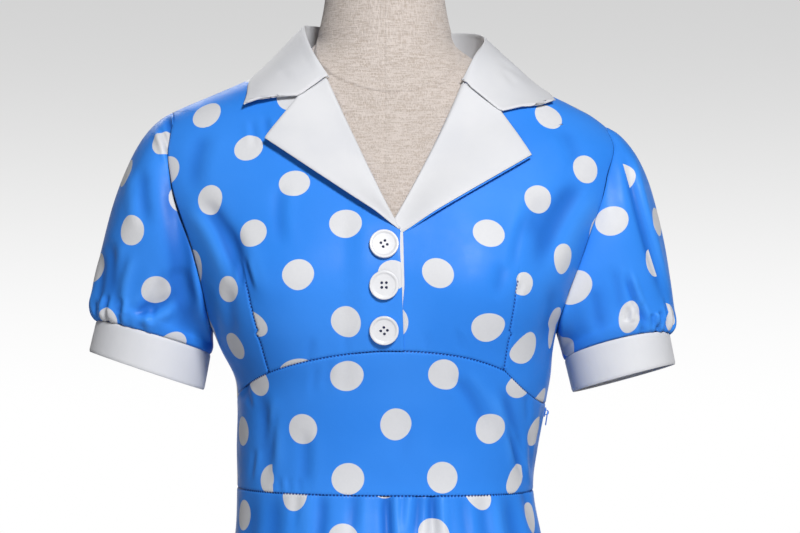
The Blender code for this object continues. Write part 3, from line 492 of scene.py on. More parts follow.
# Seen from the front, in millimetres: a fold runs from its first end to its second and fades out at
# both. Its bow is to its right, a depth above 0 is a trough, and its roll is the raised cloth
# beside it: on its right above 0, on its left below.
FRONT_FOLDS = {
    "collar": (
        # x, z, x, z, bow, width, depth, roll
        (97, 1404, 134, 1381, 2, 3.4, 1.0, 0.7),
        (101, 1396, 112, 1382, 0, 3.0, 0.7, -0.6),
        (-88, 1394, -78, 1386, 1, 3.6, 0.7, 0.6),
    ),
    "bodice_front_right": (
        (-152, 1284, -119, 1222, 4, 8.0, 3.9, -0.6),
        (-131, 1262, -108, 1196, 0, 9.0, 2.1, 0.5),
        (-116, 1236, -108, 1210, 0, 2.6, 2.0, 0.5),
        (-121, 1233, -118, 1214, 0, 2.2, 1.5, -0.5),
        (-86, 1296, -84, 1246, -2, 6.0, 1.4, 0.5),
        (-100, 1356, -96, 1330, 0, 3.4, 1.2, 0.6),
        (-112, 1352, -109, 1330, 1, 3.0, 1.0, -0.6),
        (-151, 1342, -160, 1290, -3, 9.0, 1.8, 0.3),
        (-130, 1214, -127, 1160, 1, 6.0, 1.5, -0.5),
        (-58, 1170, -64, 1150, 0, 4.0, 0.9, 0.4),
        (-30, 1176, -32, 1158, 0, 3.4, 0.6, 0.4),
    ),
    "bodice_front_left": (
        (119, 1276, 106, 1224, -3, 4.0, 1.0, -0.3),
        (163, 1300, 126, 1226, -4, 11.0, 3.4, 0.5),
        (132, 1290, 118, 1252, 0, 9.0, 1.7, -0.4),
        (98, 1232, 92, 1204, 0, 6.0, 1.3, 0.4),
        (142, 1212, 133, 1160, 2, 7.0, 1.7, 0.5),
        (113, 1216, 109, 1204, 0, 2.2, 1.3, 0.5),
        (60, 1176, 66, 1158, 0, 3.6, 0.7, 0.4),
        (34, 1174, 36, 1158, 0, 3.2, 0.6, -0.4),
        (150, 1346, 162, 1310, 3, 8.0, 1.3, -0.4),
    ),
    "midriff_front": (
        (-102, 1122, -99, 1048, 2, 6.0, 2.4, 0.6),
        (-89, 1112, -96, 1066, 0, 3.2, 1.1, -0.7),
        (-66, 1092, -67, 1042, 1, 6.0, 1.6, 0.4),
        (-43, 1152, -50, 1128, 0, 3.4, 0.9, 0.5),
        (-56, 1148, -60, 1122, 0, 3.6, 0.8, -0.4),
        (-28, 1156, -33, 1124, 0, 4.0, 0.7, 0.4),
        (-88, 1054, -87, 1041, 0, 2.2, 0.8, 0.5),
        (-80, 1054, -79, 1041, 0, 2.2, 0.8, -0.5),
        (-71, 1054, -70, 1041, 0, 2.4, 0.7, 0.5),
        (59, 1139, 88, 1088, 3, 6.5, 1.9, 0.5),
        (98, 1126, 116, 1054, 3, 5.0, 2.4, -0.6),
        (103, 1096, 121, 1044, 0, 2.6, 1.9, 0.8),
        (119, 1121, 121, 1098, 0, 2.6, 1.1, 0.6),
        (122, 1090, 124, 1050, 1, 2.6, 1.4, -0.6),
        (135, 1112, 128, 1044, -1, 2.2, 1.7, 0.9),
        (20, 1110, 16, 1060, 0, 9.0, 0.7, 0.3),
        (-121, 1118, -114, 1134, 0, 2.4, 1.4, 0.6),
        (-112, 1112, -117, 1132, 0, 2.4, 1.1, -0.6),
        (-109, 1076, -113, 1050, 0, 2.4, 1.1, 0.7),
    ),
    "skirt_front": (
        (2, 1043, 4, 985, 0, 5.0, 4.4, 0.6),
        (40, 1043, 42, 992, 0, 4.8, 4.0, 0.6),
        (28, 1043, 24, 1004, 1, 4.4, 2.4, -0.5),
        (15, 1041, 12, 1010, 0, 3.6, 1.2, 0.5),
        (-24, 1042, -27, 1004, 0, 5.4, 2.2, 0.5),
        (-52, 1042, -58, 990, 2, 6.4, 2.4, -0.5),
        (-72, 1041, -76, 1010, 0, 4.0, 1.0, 0.4),
        (-92, 1041, -101, 960, 3, 9.0, 2.3, 0.4),
        (-112, 1041, -127, 940, 3, 8.0, 1.8, -0.4),
        (64, 1041, 70, 996, 0, 5.0, 1.3, 0.5),
        (82, 1041, 92, 970, -2, 7.0, 1.8, 0.4),
        (104, 1041, 124, 950, -3, 8.0, 2.3, -0.5),
        (117, 1043, 133, 990, 0, 3.4, 2.1, 0.7),
        (60, 940, 84, 760, 4, 16.0, 3.4, 0.3),
        (-50, 960, -78, 740, -4, 17.0, 3.4, 0.3),
        (8, 900, 2, 640, 3, 18.0, 3.1, -0.3),
    ),
    "sleeve_right": (
        (-205, 1312, -199, 1262, -2, 7.0, 2.2, -0.6),
        (-232, 1250, -237, 1198, 2, 6.0, 2.5, 0.6),
        (-241, 1240, -247, 1188, 1, 4.0, 2.2, -0.6),
        (-219, 1240, -229, 1186, -2, 5.0, 2.4, 0.6),
        (-211, 1190, -178, 1206, -3, 5.5, 3.2, -0.9),
        (-206, 1192, -186, 1225, -3, 6.0, 2.0, 0.5),
        (-185, 1356, -176, 1330, 0, 3.4, 3.6, 0.8),
        (-190, 1346, -181, 1320, 1, 3.0, 2.8, -0.8),
        (-176, 1228, -165, 1196, 0, 8.0, 2.5, 0.3),
        (-197, 1182, -194, 1196, 0, 3.0, 1.5, 0.6),
        (-225, 1190, -223, 1204, 0, 3.0, 1.8, -0.6),
        (-237, 1194, -236, 1206, 0, 2.6, 1.6, 0.6),
        (-180, 1306, -166, 1166, 3, 11.0, 5.0, 0.2),
    ),
    "sleeve_left": (
        (205, 1318, 240, 1198, -2, 4.4, 3.3, 0.9),
        (204, 1222, 223, 1180, -2, 3.2, 2.9, 0.8),
        (205, 1184, 206, 1196, 0, 2.4, 2.0, -0.7),
        (227, 1190, 229, 1178, 0, 2.2, 2.2, 0.7),
        (234, 1192, 237, 1178, 0, 2.2, 2.0, -0.7),
        (217, 1200, 219, 1180, 0, 2.6, 1.5, -0.6),
        (192, 1228, 199, 1184, 2, 5.0, 1.3, 0.5),
        (176, 1210, 182, 1172, 0, 6.0, 1.5, -0.4),
        (188, 1320, 196, 1262, 2, 7.0, 1.0, 0.4),
        (190, 1344, 197, 1330, 0, 4.0, 0.9, 0.5),
    ),
}

# Gathers above the cuffs: how far round the arm from its top, in degrees, width in degrees, depth
# and how far up they reach, in millimetres
GATHERS = {
    "sleeve_right": (
        # turn, width, depth, reach
        (-38, 4.0, 1.6, 20),
        (-21, 3.6, 2.2, 30),
        (-6, 3.4, 2.0, 24),
        (9, 3.6, 2.2, 34),
        (24, 3.6, 1.8, 22),
        (41, 3.8, 2.2, 30),
        (58, 4.0, 1.6, 20),
        (82, 4.6, 1.2, 16),
        (-62, 4.6, 1.5, 22),
        (-90, 5.0, 1.2, 16),
    ),
    "sleeve_left": (
        (-40, 4.0, 1.6, 20),
        (-24, 3.6, 2.0, 26),
        (-9, 3.4, 2.0, 22),
        (6, 3.4, 2.2, 24),
        (19, 3.4, 2.4, 20),
        (33, 3.6, 2.6, 34),
        (47, 3.4, 2.0, 16),
        (66, 4.0, 1.5, 14),
        (-62, 4.6, 1.5, 22),
        (-90, 5.0, 1.2, 16),
    ),
}

# Tucks that hide some of the printed cloth
TUCKS = {
    "sleeve_left": (
        # x, z, x, z, bow, cloth hidden
        (196.6, 1337.5, 240, 1196.4, -2, 26.0),
    ),
    "midriff_front": (
        (98, 1136, 117, 1050, 2, 22.0),
        (-94, 1072, -93, 1040, 0, 9.0),
    ),
}
TUCK_REACH = 90.0  # how far beside a tuck the print is drawn towards it
TUCK_STARTS, TUCK_STOPS = (-0.15, 0.1), (0.9, 1.15)  # shares of a tuck where it sets in and runs out

# The same behind, where x and z are seen through the figure
BACK_FOLDS = {
    "bodice_back": (
        (-170, 1300, -118, 1226, 5, 10.0, 2.2, 0.5),
        (164, 1296, 112, 1218, -5, 9.0, 2.2, -0.5),
        (-146, 1262, -96, 1190, 4, 8.0, 1.5, -0.4),
        (140, 1254, 102, 1176, -3, 8.0, 1.6, 0.4),
        (-40, 1372, -52, 1300, -3, 9.0, 1.0, 0.4),
        (34, 1366, 50, 1290, 3, 8.0, 1.0, -0.4),
        (-60, 1150, -66, 1116, 0, 4.0, 0.8, 0.5),
        (-20, 1160, -22, 1116, 0, 6.0, 0.9, -0.5),
        (26, 1154, 22, 1116, 0, 5.0, 0.8, 0.5),
        (70, 1160, 72, 1116, 0, 5.0, 0.9, -0.4),
        (0, 1300, 4, 1200, 2, 15.0, 1.2, 0.2),
    ),
    "midriff_back": (
        (-96, 1110, -100, 1044, 2, 6.0, 1.6, 0.5),
        (92, 1110, 98, 1046, -2, 6.0, 1.5, -0.5),
        (-50, 1108, -44, 1060, 0, 5.0, 0.8, 0.5),
        (40, 1090, 46, 1042, 0, 5.0, 0.9, -0.4),
        (-8, 1100, -4, 1050, 0, 8.0, 0.7, 0.4),
    ),
    "skirt_back": (
        (-3, 1041, -6, 984, 0, 4.8, 2.4, 0.6),
        (-34, 1041, -40, 990, 0, 4.4, 2.0, -0.6),
        (30, 1041, 33, 986, 0, 4.6, 2.2, 0.6),
        (14, 1041, 15, 1006, 0, 3.6, 1.0, -0.5),
        (-62, 1041, -72, 960, 2, 7.0, 1.6, 0.5),
        (60, 1041, 70, 964, -2, 7.0, 1.5, -0.5),
        (-92, 1041, -110, 950, 3, 8.0, 1.7, 0.5),
        (92, 1041, 112, 948, -3, 8.0, 1.6, -0.5),
        (-50, 940, -74, 720, -4, 17.0, 2.6, 0.3),
        (46, 930, 70, 700, 4, 17.0, 2.6, -0.3),
        (0, 880, 6, 620, 3, 18.0, 2.2, 0.3),
    ),
    "sleeve_right": (
        (-198, 1310, -214, 1240, 2, 7.0, 1.8, 0.6),
        (-216, 1228, -230, 1186, 0, 4.6, 2.0, 0.6),
        (-232, 1224, -242, 1190, 0, 4.0, 1.8, -0.6),
        (-198, 1220, -205, 1182, 0, 5.0, 1.6, 0.6),
        (-180, 1210, -184, 1174, 0, 5.0, 1.4, -0.5),
    ),
    "sleeve_left": (
        (200, 1300, 222, 1220, -2, 7.0, 1.8, 0.6),
        (214, 1216, 228, 1180, 0, 4.6, 2.0, -0.6),
        (230, 1212, 238, 1180, 0, 3.6, 1.8, 0.6),
        (194, 1210, 203, 1176, 0, 5.0, 1.6, -0.6),
        (178, 1204, 184, 1168, 0, 5.0, 1.4, 0.5),
    ),
}

# About how wide and long each piece's grid is
FRONT_WIDE, FRONT_LONG = (0.125, 0.08), 0.265  # before and beyond its dart, and up
ABOUT = {
    "sleeve": (0.38, 0.215),
    "cuff": (0.25, 0.03),
    "lapel": (0.09, 0.15),
    "lapel_left_under": (0.04, 0.15),
    "bodice_back": (0.42, 0.3),
    "midriff": (0.365, 0.1),
    "skirt": (0.8, 0.66),
    "collar": (0.46, 0.09),
    "facing_edge": (0.006, 0.064),
}
GRAIN_AT = {"left": 0.15, "right": 0.85}  # share across a bodice front where the print runs upright

# A slow unevenness that every cloth piece has
RIPPLES = (
    # along x, along z, turn, share
    (47.0, 31.0, 0.4, 0.5),
    (-29.0, 62.0, 2.2, 0.35),
    (83.0, -18.0, 4.0, 0.3),
    (21.0, 104.0, 5.3, 0.22),
)
RIPPLE_DEPTH = {"satin": 0.0005, "trim": 0.00022}


# ---------------------------------------------------------------- shapes that follow a rule


def smooth(table, at):
    """The table's other columns where its first is at, on a smooth curve through its rows."""
    knots, values = table[:, 0], table[:, 1:]
    slopes = np.gradient(values, knots, axis=0)
    at = np.clip(np.asarray(at, float), knots[0], knots[-1])
    row = np.clip(np.searchsorted(knots, at, side="right") - 1, 0, len(knots) - 2)
    gap = (knots[row + 1] - knots[row])[..., None]
    t = (at - knots[row])[..., None] / gap
    return (
        (1 + 2 * t) * (1 - t) ** 2 * values[row]
        + t * (1 - t) ** 2 * gap * slopes[row]
        + t**2 * (3 - 2 * t) * values[row + 1]
        + t**2 * (t - 1) * gap * slopes[row + 1]
    )


def ease_in(value, low, high):
    """0 below low, 1 above high, and a soft step between them."""
    t = np.clip((value - low) / (high - low), 0, 1)
    return t * t * (3 - 2 * t)


def measures(table, z):
    """The same, with a table for each column."""
    return np.moveaxis(smooth(table, z), -1, 0)


def bust(x, z):
    """How far the bust stands out of the front."""
    across = np.exp(-(((np.abs(x) - BUST_X) / BUST_WIDE) ** 2) / 2)
    return BUST_OUT * across * np.exp(-(((z - BUST_Z) / BUST_TALL) ** 2) / 2)


def flare(angle, z):
    """How far the skirt's waves stand out of its section."""
    grown = np.clip((WAIST_Z - z) / (WAIST_Z - HEM_Z), 0, 1)
    waves = sum(share * np.cos(n * angle + turn) for n, share, turn in FLARES)
    return FLARE_DEPTH * grown * waves


def on_section(table, angle, z):
    """The point of a section at an angle."""
    left, right, front, back, front_square, back_square = measures(table, z)
    s, c = np.sin(angle), np.cos(angle)
    power = 2 / np.where(c >= 0, front_square, back_square)
    x = np.where(s >= 0, left, right) * np.sign(s) * np.abs(s) ** power
    y = -np.where(c >= 0, front, back) * np.sign(c) * np.abs(c) ** power
    y = y - np.where(c > 0, bust(x, z), 0)
    return np.stack(np.broadcast_arrays(x, y, z), axis=-1)


def on_figure(table, angle, z, out=0.0):
    """The point of a table's surface at an angle and a height, moved out along its normal."""
    angle, z = np.broadcast_arrays(np.asarray(angle, float), np.asarray(z, float))
    step = 1e-4
    round_it = on_section(table, angle + step, z) - on_section(table, angle - step, z)
    up = on_section(table, angle, z + step) - on_section(table, angle, z - step)
    normal = np.cross(round_it, up)
    normal /= np.linalg.norm(normal, axis=-1, keepdims=True)
    out = np.asarray(out, float) + flare(angle, z) * (table is DRESS)
    return on_section(table, angle, z) + normal * out[..., None]


def angle_at_x(x, z):
    """The angle in front at which the dress's section is this far across."""
    left, right, _, _, square, _ = measures(DRESS, z)
    half = np.where(x >= 0, left, right)
    return np.sign(x) * np.arcsin(np.clip(np.abs(x) / half, 0, 1) ** (square / 2))


def angle_at_depth(depth, z, behind):
    """The angle on the left at which the section is this deep before or behind the side seam."""
    _, _, front, back, front_square, back_square = measures(DRESS, z)
    if behind:
        return math.pi - np.arccos(np.clip(depth / back, 0, 1) ** (back_square / 2))
    return np.arccos(np.clip(depth / front, 0, 1) ** (front_square / 2))


def armhole_level(side, share):
    """The height on the armhole's oval, from 0 at the shoulder tip to 1 at the armpit."""
    middle, half = (TIP_Z[side] + ARMPIT_Z) / 2, (TIP_Z[side] - ARMPIT_Z) / 2
    return middle + half * np.cos(math.pi * np.asarray(share, float))


def side_angle(side, z, behind):
    """Where a bodice piece ends: side seam, armhole or shoulder seam. Its sign is the side's."""
    middle, half = (TIP_Z[side] + ARMPIT_Z) / 2, (TIP_Z[side] - ARMPIT_Z) / 2
    high = np.clip((z - middle) / half, -1, 1)
    if behind:
        deep = ARMHOLE_BACK * (1 - np.abs(high) ** ARMHOLE_SQUARE) ** (1 / ARMHOLE_SQUARE)
    else:
        deep = measures(ARMHOLE_FRONT, np.arccos(high) / math.pi)[0 if side == "left" else 1]
    return SIDE_SIGN[side] * angle_at_depth(deep, z, behind)


def waist(angle):
    """Height of the waist seam."""
    return WAIST_Z - WAIST_TILT * np.sin(angle)


def underbust(angle):
    """Height of the seam under the bust: an arc to the dart on each side, then down to the side."""
    away = np.abs(np.asarray(angle, float))
    left = np.asarray(angle, float) > 0
    arc_power, fall_power = (
        np.where(left, shape["left"], shape["right"]) for shape in (UNDERBUST_ARC, UNDERBUST_FALL)
    )
    arc = np.clip(away / DART_ANGLE, 0, 1) ** arc_power
    rest = np.clip((away - DART_ANGLE) / (math.pi / 2 - DART_ANGLE), 0, 1)
    fall = 1 - (1 - rest) ** fall_power
    return (
        UNDERBUST_FRONT_Z
        - (UNDERBUST_FRONT_Z - UNDERBUST_DART_Z) * arc
        - (UNDERBUST_DART_Z - UNDERBUST_SIDE_Z) * fall
    )


def roll_x(side, z):
    """Where the lapel's roll line is, at a height above the break."""
    (x0, z0), (x1, z1) = NOTCHES[side][:2]
    up = (z - z0) / (z1 - z0)
    bow = 4 * ROLL_BOW[side] * np.clip(up, 0, 1) * (1 - np.clip(up, 0, 1))
    return x0 + (x1 - x0) * up + SIDE_SIGN[side] * bow


def opening_x(side, z):
    """The inner edge of a bodice front: the lap below the break, the roll line above it."""
    break_x, break_z = NOTCHES[side][0]
    if side == "right":
        foot = UNDERBUST_FRONT_Z
        lap = LAP_EDGE_FOOT_X + (LAP_EDGE_TOP_X - LAP_EDGE_FOOT_X) * (z - foot) / (break_z - foot)
    else:
        lap = UNDERLAP_X + (break_x - UNDERLAP_X) * ease_in(z, break_z - UNDERLAP_ENDS, break_z)
    gorge_z = NOTCHES[side][1][1]
    shy = SIDE_SIGN[side] * NECK_SHY[side] * ease_in(z, gorge_z + NECK_SHY_Z[0], gorge_z + NECK_SHY_Z[1])
    return np.where(z <= break_z, lap, roll_x(side, z) + shy)


def lap_lift(side, x, z):
    """How far the right front stands out where it lies on the left one."""
    if side == "left":
        return np.zeros_like(x)
    break_z = NOTCHES[side][0][1]
    foot = LAP_FOOT_SHARE + (1 - LAP_FOOT_SHARE) * ease_in(z, *LAP_FOOT_Z)
    return LAP_LIFT * foot * ease_in(x, *LAP_RAMP_X) * (1 - ease_in(z, break_z, LAP_FADE_Z))


def at_front(x, z, out):
    """The point on the dress's front at x and z, moved out."""
    return on_figure(DRESS, angle_at_x(x, z), z, out)


# ---------------------------------------------------------------- cloth pieces, as grids of s and t


def bodice_levels(side):
    """Heights of a bodice piece's rows at its side, from the under-bust seam to the neck."""
    armhole = armhole_level(side, np.linspace(1, 0, ARMHOLE_STEPS + 1))
    below = np.linspace(UNDERBUST_SIDE_Z, ARMPIT_Z, SIDE_STEPS + 1)[:-1]
    shoulder = np.linspace(TIP_Z[side], NECK_Z[side], SHOULDER_STEPS + 1)[1:]
    return np.concatenate((below, armhole, shoulder))


def bodice_share(side, t):
    """The height on a bodice front as a share of its side, smooth in t."""
    levels = bodice_levels(side)
    shares = (levels - levels[0]) / (levels[-1] - levels[0])
    return np.interp(t, np.linspace(0, 1, len(levels)), shares)


def plain_front(side, s, t):
    """The angle and height of a bodice front before its columns lean to the dart."""
    foot_angle = angle_at_x(opening_x(side, UNDERBUST_FRONT_Z), UNDERBUST_FRONT_Z)
    side_seam = SIDE_SIGN[side] * math.pi / 2
    foot = underbust(foot_angle + s * (side_seam - foot_angle))
    z = foot + bodice_share(side, t) * (NECK_Z[side] - foot)
    inner = angle_at_x(opening_x(side, z), z)
    return inner + s * (side_angle(side, z, behind=False) - inner), z


def dart_column(side, t):
    """The share across a bodice front at which its dart's line crosses the row t."""
    (x0, z0), (x1, z1) = DARTS[side]
    s = np.linspace(0.25, 0.95, 141)
    crossings = []
    for row in np.minimum(t, dart_rows(side)[1]):
        angle, z = plain_front(side, s, np.full_like(s, row))
        x = on_section(DRESS, angle, z)[..., 0]
        beyond = np.abs(x) - np.abs(x0 + (x1 - x0) * (z - z0) / (z1 - z0))
        crossings.append(np.interp(0, beyond, s))
    return np.array(crossings)


def dart_rows(side):
    """The rows t where the dart comes to its point, and above which its column runs straight up."""
    t = np.linspace(0, 1, 201)
    heights = UNDERBUST_DART_Z + bodice_share(side, t) * (NECK_Z[side] - UNDERBUST_DART_Z)
    point = DARTS[side][1][1]
    return np.interp(point, heights, t), np.interp(point + DART_STRAIGHT, heights, t)


def bodice_front(side):
    """One front, from its opening edge to the side seam, armhole and shoulder."""
    rows = np.linspace(0, 1, 61)
    crossings = dart_column(side, rows)

    def place(s, t):
        s = s if side == "left" else 1 - s
        dart = np.interp(t, rows, crossings)
        low = s / DART_SHARE * dart
        high = dart + (s - DART_SHARE) / (1 - DART_SHARE) * (1 - dart)
        angle, z = plain_front(side, np.where(s < DART_SHARE, low, high), t)
        x = on_section(DRESS, angle, z)[..., 0]
        return on_figure(DRESS, angle, z, lap_lift(side, x, z))

    return place


def bodice_back():
    """The back, in one piece from side to side."""
    rows = np.linspace(0, 1, BODICE_STEPS + 1)

    def place(s, t):
        left_z, right_z = (np.interp(t, rows, bodice_levels(side)) for side in ("left", "right"))
        first = side_angle("left", left_z, behind=True)
        last = 2 * math.pi + side_angle("right", right_z, behind=True)
        return on_figure(DRESS, first + s * (last - first), left_z + s * (right_z - left_z))

    return place


def half_round(behind):
    """First and last angle of the front or back half."""
    edge = math.pi / 2
    return (edge, 2 * math.pi - edge) if behind else (-edge, edge)


def midriff(behind):
    """The fitted band between the seam under the bust and the waist."""

    def place(s, t):
        first, last = half_round(behind)
        angle = first + s * (last - first)
        top, foot = UNDERBUST_SIDE_Z if behind else underbust(angle), waist(angle)
        return on_figure(DRESS, angle, foot + t * (top - foot))

    return place


def skirt(behind):
    """Half of the flared skirt, from hem to waist."""

    def place(s, t):
        first, last = half_round(behind)
        angle = first + s * (last - first)
        return on_figure(DRESS, angle, HEM_Z + t * (waist(angle) - HEM_Z))

    return place


def cuff_ring(side, end, turn):
    """Points of the cuff's top or foot, from its outer end at turn 0 through the front."""
    shape = CUFFS[side]
    out, within = np.array(shape[end + "_out"]), np.array(shape[end + "_in"])
    middle, reach = (out + within) / 2, (out - within) / 2
    x = middle[0] + reach[0] * np.cos(turn)
    z = middle[1] + reach[1] * np.cos(turn) + shape["pitch_" + end] / 2 * np.sin(turn)
    return np.stack((x, -CUFF_HALF_DEPTH * np.sin(turn), z), axis=-1)


def armhole_ring(side, turn):
    """Points of the armhole's edge, from the shoulder tip at turn 0 through the front."""
    z = armhole_level(side, 1 - np.abs(1 - turn / math.pi))
    front, back = (side_angle(side, z, behind) for behind in (False, True))
    return on_figure(DRESS, np.where(turn > math.pi, back, front), z)


def full_ring(side, turn):
    """The sleeve's fullest ring, just above the cuff, and the cuff's axis."""
    top, foot = (cuff_ring(side, end, np.array((0, math.pi))).mean(axis=0) for end in ("top", "foot"))
    axis = (foot - top) / np.linalg.norm(foot - top)
    ring = cuff_ring(side, "top", turn)
    outward = (ring - top) / np.linalg.norm(ring - top, axis=-1, keepdims=True)
    high = ((1 + np.cos(turn)) / 2)[:, None]
    inner = CUFFS[side]["puff_out"]
    rise = PUFF_RISE * (RISE_INNER + (1 - RISE_INNER) * high)
    out = PUFF_OUT * (inner + (1 - inner) * high)
    return ring - axis * rise + outward * out, axis


def sleeve_turn(side, s):
    """The turn round the arm, from the seam under it through the front on the right, and back."""
    round_it = s if side == "right" else 1 - s
    return (math.pi + 2 * math.pi * round_it) % (2 * math.pi)


def sleeve(side):
    """A short puffed sleeve: its lines run from the armhole to the fullest ring and into the cuff."""
    sign = SIDE_SIGN[side]
    leave_tip = np.array((sign * CUFFS[side]["leave"][0], 0.0, CUFFS[side]["leave"][1]))
    leave_armpit = np.array((sign * LEAVE_ARMPIT[0], 0.0, LEAVE_ARMPIT[1]))
    forward = np.array((0.0, -LEAVE_FORWARD, 0.0))

    def place(s, t):
        turn = sleeve_turn(side, s)
        down = np.clip((1 - t) / (1 - DRAWN_SHARE), 0, 1)[:, None]
        start, (full, axis) = armhole_ring(side, turn), full_ring(side, turn)
        high = ((1 + np.cos(turn)) / 2)[:, None]
        reach = np.linalg.norm(full - start, axis=-1, keepdims=True)
        leave = high * leave_tip + (1 - high) * leave_armpit + np.sin(turn)[:, None] * forward
        line = (
            (1 + 2 * down) * (1 - down) ** 2 * start
            + down * (1 - down) ** 2 * reach * leave
            + down**2 * (3 - 2 * down) * full
            + down**2 * (down - 1) * reach * SLEEVE_ARRIVE * axis
        )
        drawn_in = np.clip(1 - t / DRAWN_SHARE, 0, 1)[:, None]
        whole = cuff_ring(side, "top", turn) - full
        down_arm = (whole @ axis)[:, None] * axis
        return line + drawn_in * down_arm + drawn_in**2 * (whole - down_arm)

    return place


def cuff(side):
    """A straight band below the sleeve's edge, with its join under the arm."""

    def place(s, t):
        turn = sleeve_turn(side, s)
        top, foot = cuff_ring(side, "top", turn), cuff_ring(side, "foot", turn)
        return foot + t[:, None] * (top - foot)

    return place


def lapel(side, under=0.0, longer=0.0):
    """A lapel: it comes from behind its roll line, turns over, and lies on the front.

    s runs from the facing's inner end at 0, over the roll at ROLL_AT, to the outer edge at 1. The
    cloth under a lapel lies this far under it and is this much longer than it.
    """
    start, gorge, notch, tip = (np.array(point) for point in NOTCHES[side])

    def place(s, t):
        s = 1 - s if side == "right" else s
        t = LAPEL_FOOT + t * (1 - LAPEL_FOOT)
        inner_z = start[1] + t * (gorge[1] - start[1])
        inner = np.stack((roll_x(side, inner_z), inner_z), axis=-1)
        outer = start + t[:, None] * (tip - start)
        outer = outer + longer * (outer - inner) / np.linalg.norm(outer - inner, axis=-1, keepdims=True)
        over = np.clip((s - ROLL_AT) / (1 - ROLL_AT), 0, 1)
        straight = inner + over[:, None] * (outer - inner)
        corner = np.minimum(over / NOTCH_SHARE, (1 - over) / (1 - NOTCH_SHARE))[:, None]
        to_notch = notch - (gorge + NOTCH_SHARE * (tip - gorge))
        flat = straight + corner * t[:, None] ** NOTCH_POWER * to_notch
        width = np.linalg.norm(outer - inner, axis=-1)
        # Round the roll: how far the cloth is from its edge, and how high it is over the front
        back = np.clip(s / ROLL_AT, 0, 1)
        bend = np.clip((back - ROLL_FLAT) / (1 - ROLL_FLAT), 0, 1) * math.pi / 2
        inside = np.minimum(ROLL_INSIDE, ROLL_INSIDE_MOST * width)
        inside = inside * (1 - np.clip(back / ROLL_FLAT, 0, 1))
        turned = inside + ROLL_RADIUS * (1 - np.sin(bend)) * ease_in(width, 0, 0.01)
        low = -SATIN / 2 - ROLL_RADIUS * np.cos(bend)
        on_roll = np.clip(over * width / ROLL_RADIUS, 0, 1)
        high = -SATIN / 2 + ROLL_RADIUS * np.sqrt(on_roll * (2 - on_roll))
        rise = ease_in(over, LAPEL_RISES_AT, 1.0) * ease_in(t, *LAPEL_RISE[side])
        high = high + (LAPEL_LIFT[side] - ROLL_RADIUS) * rise
        across = (outer - inner) / np.maximum(width, 1e-4)[:, None]
        moved = flat + across * (turned * (s < ROLL_AT))[:, None]
        x, z = moved[:, 0], moved[:, 1]
        out = np.where(s < ROLL_AT, low, high) + lap_lift(side, x, z) - under
        return at_front(x, z, out)

    return place


def collar_end(side, share):
    """A point of the collar's front edge."""
    table = np.array(COLLAR_ENDS[side])
    x, z = (np.interp(share, table[:, 0], table[:, column]) for column in (1, 2))
    return at_front(x, z, measures(table[:, (0, 3)], share)[0])


def collar(s, t):
    """The collar: its stand rises from the neck seam, rolls over, and its fall lies outwards."""
    by_row = np.column_stack((np.linspace(0, 1, len(COLLAR)), COLLAR))
    foot_angle, foot_z, roll_a, roll_b, roll_c, edge_angle, edge_z = measures(by_row, s)
    foot = on_figure(DRESS, np.radians(foot_angle), foot_z, -SATIN)
    roll = np.stack((roll_a, roll_b, roll_c), axis=-1)
    edge = on_figure(DRESS, np.radians(edge_angle), edge_z, COLLAR_LIFT)

    def fall_at(run):
        fall = roll + run[:, None] * (edge - roll)
        away = fall - COLLAR_MIDDLE
        away /= np.linalg.norm(away, axis=-1, keepdims=True)
        fall = fall + away * (FALL_BULGE * np.sin(math.pi * np.sqrt(run)))[:, None]
        for side, near in (("right", s), ("left", 1 - s)):
            weight = (1 - ease_in(near, 0, COLLAR_END_REACH))[:, None]
            straight = roll + run[:, None] * (edge - roll)
            fall = fall + weight * (collar_end(side, run) - straight) * ease_in(run, 0, 0.1)[:, None]
        return fall

    row = 2 * t - 1
    tall = np.linalg.norm(foot - roll, axis=-1)
    deep = np.linalg.norm(edge - roll, axis=-1)
    round_up = np.minimum(COLLAR_ROUND / np.maximum(tall, STAND_LEAST), STAND_ROUND_MOST)
    round_down = COLLAR_ROUND / deep
    stand_row = np.clip(-row, 0, 1)
    fall_row = np.clip(row, 0, 1)
    stand = roll + stand_row[:, None] * (foot - roll)
    fall = fall_at(fall_row)
    first = roll + round_up[:, None] * (foot - roll)
    last = fall_at(round_down)
    peak = 2 * roll - 0.5 * (first + last)
    u = np.where(row < 0, 0.5 * (1 - stand_row / round_up), 0.5 + 0.5 * fall_row / round_down)[:, None]
    arc = (1 - u) ** 2 * first + 2 * u * (1 - u) * peak + u**2 * last
    on_arc = ((stand_row < round_up) & (fall_row < round_down))[:, None]
    return np.where(on_arc, arc, np.where(row[:, None] > 0, fall, stand))


def facing_edge(s, t):
    """The rolled edge of the white facing, beside the lap of the right front."""
    top_z = NOTCHES["right"][0][1] - FACING_BELOW_BREAK
    z = FACING_FOOT_Z + t * (top_z - FACING_FOOT_Z)
    shows = FACING_SHOWS * ease_in(t, 0, FACING_GROWS)
    x = opening_x("right", z) - FACING_INSIDE + s * (FACING_INSIDE + shows)
    return at_front(x, z, LAP_LIFT - SATIN)


# ---------------------------------------------------------------- from a rule to a sewn piece


def steps(length, cell, low=True, high=True):
    """Shares of a length, a cell apart, with closer lines beside an end that is turned in."""
    near = np.array(EDGE_LINES)
    first = near if low else near[:1]
    last = length - (near if high else near[:1])[::-1]
    count = max(2, round((last[0] - first[-1]) / cell))
    middle = np.linspace(first[-1], last[0], count + 1)[1:-1]
    return np.concatenate((first, middle, last)) / length


def cell_corners(table, axis):
    """The four corners of each cell of a table, in order round the cell, stacked on an axis."""
    return np.stack((table[:-1, :-1], table[:-1, 1:], table[1:, 1:], table[1:, :-1]), axis=axis)


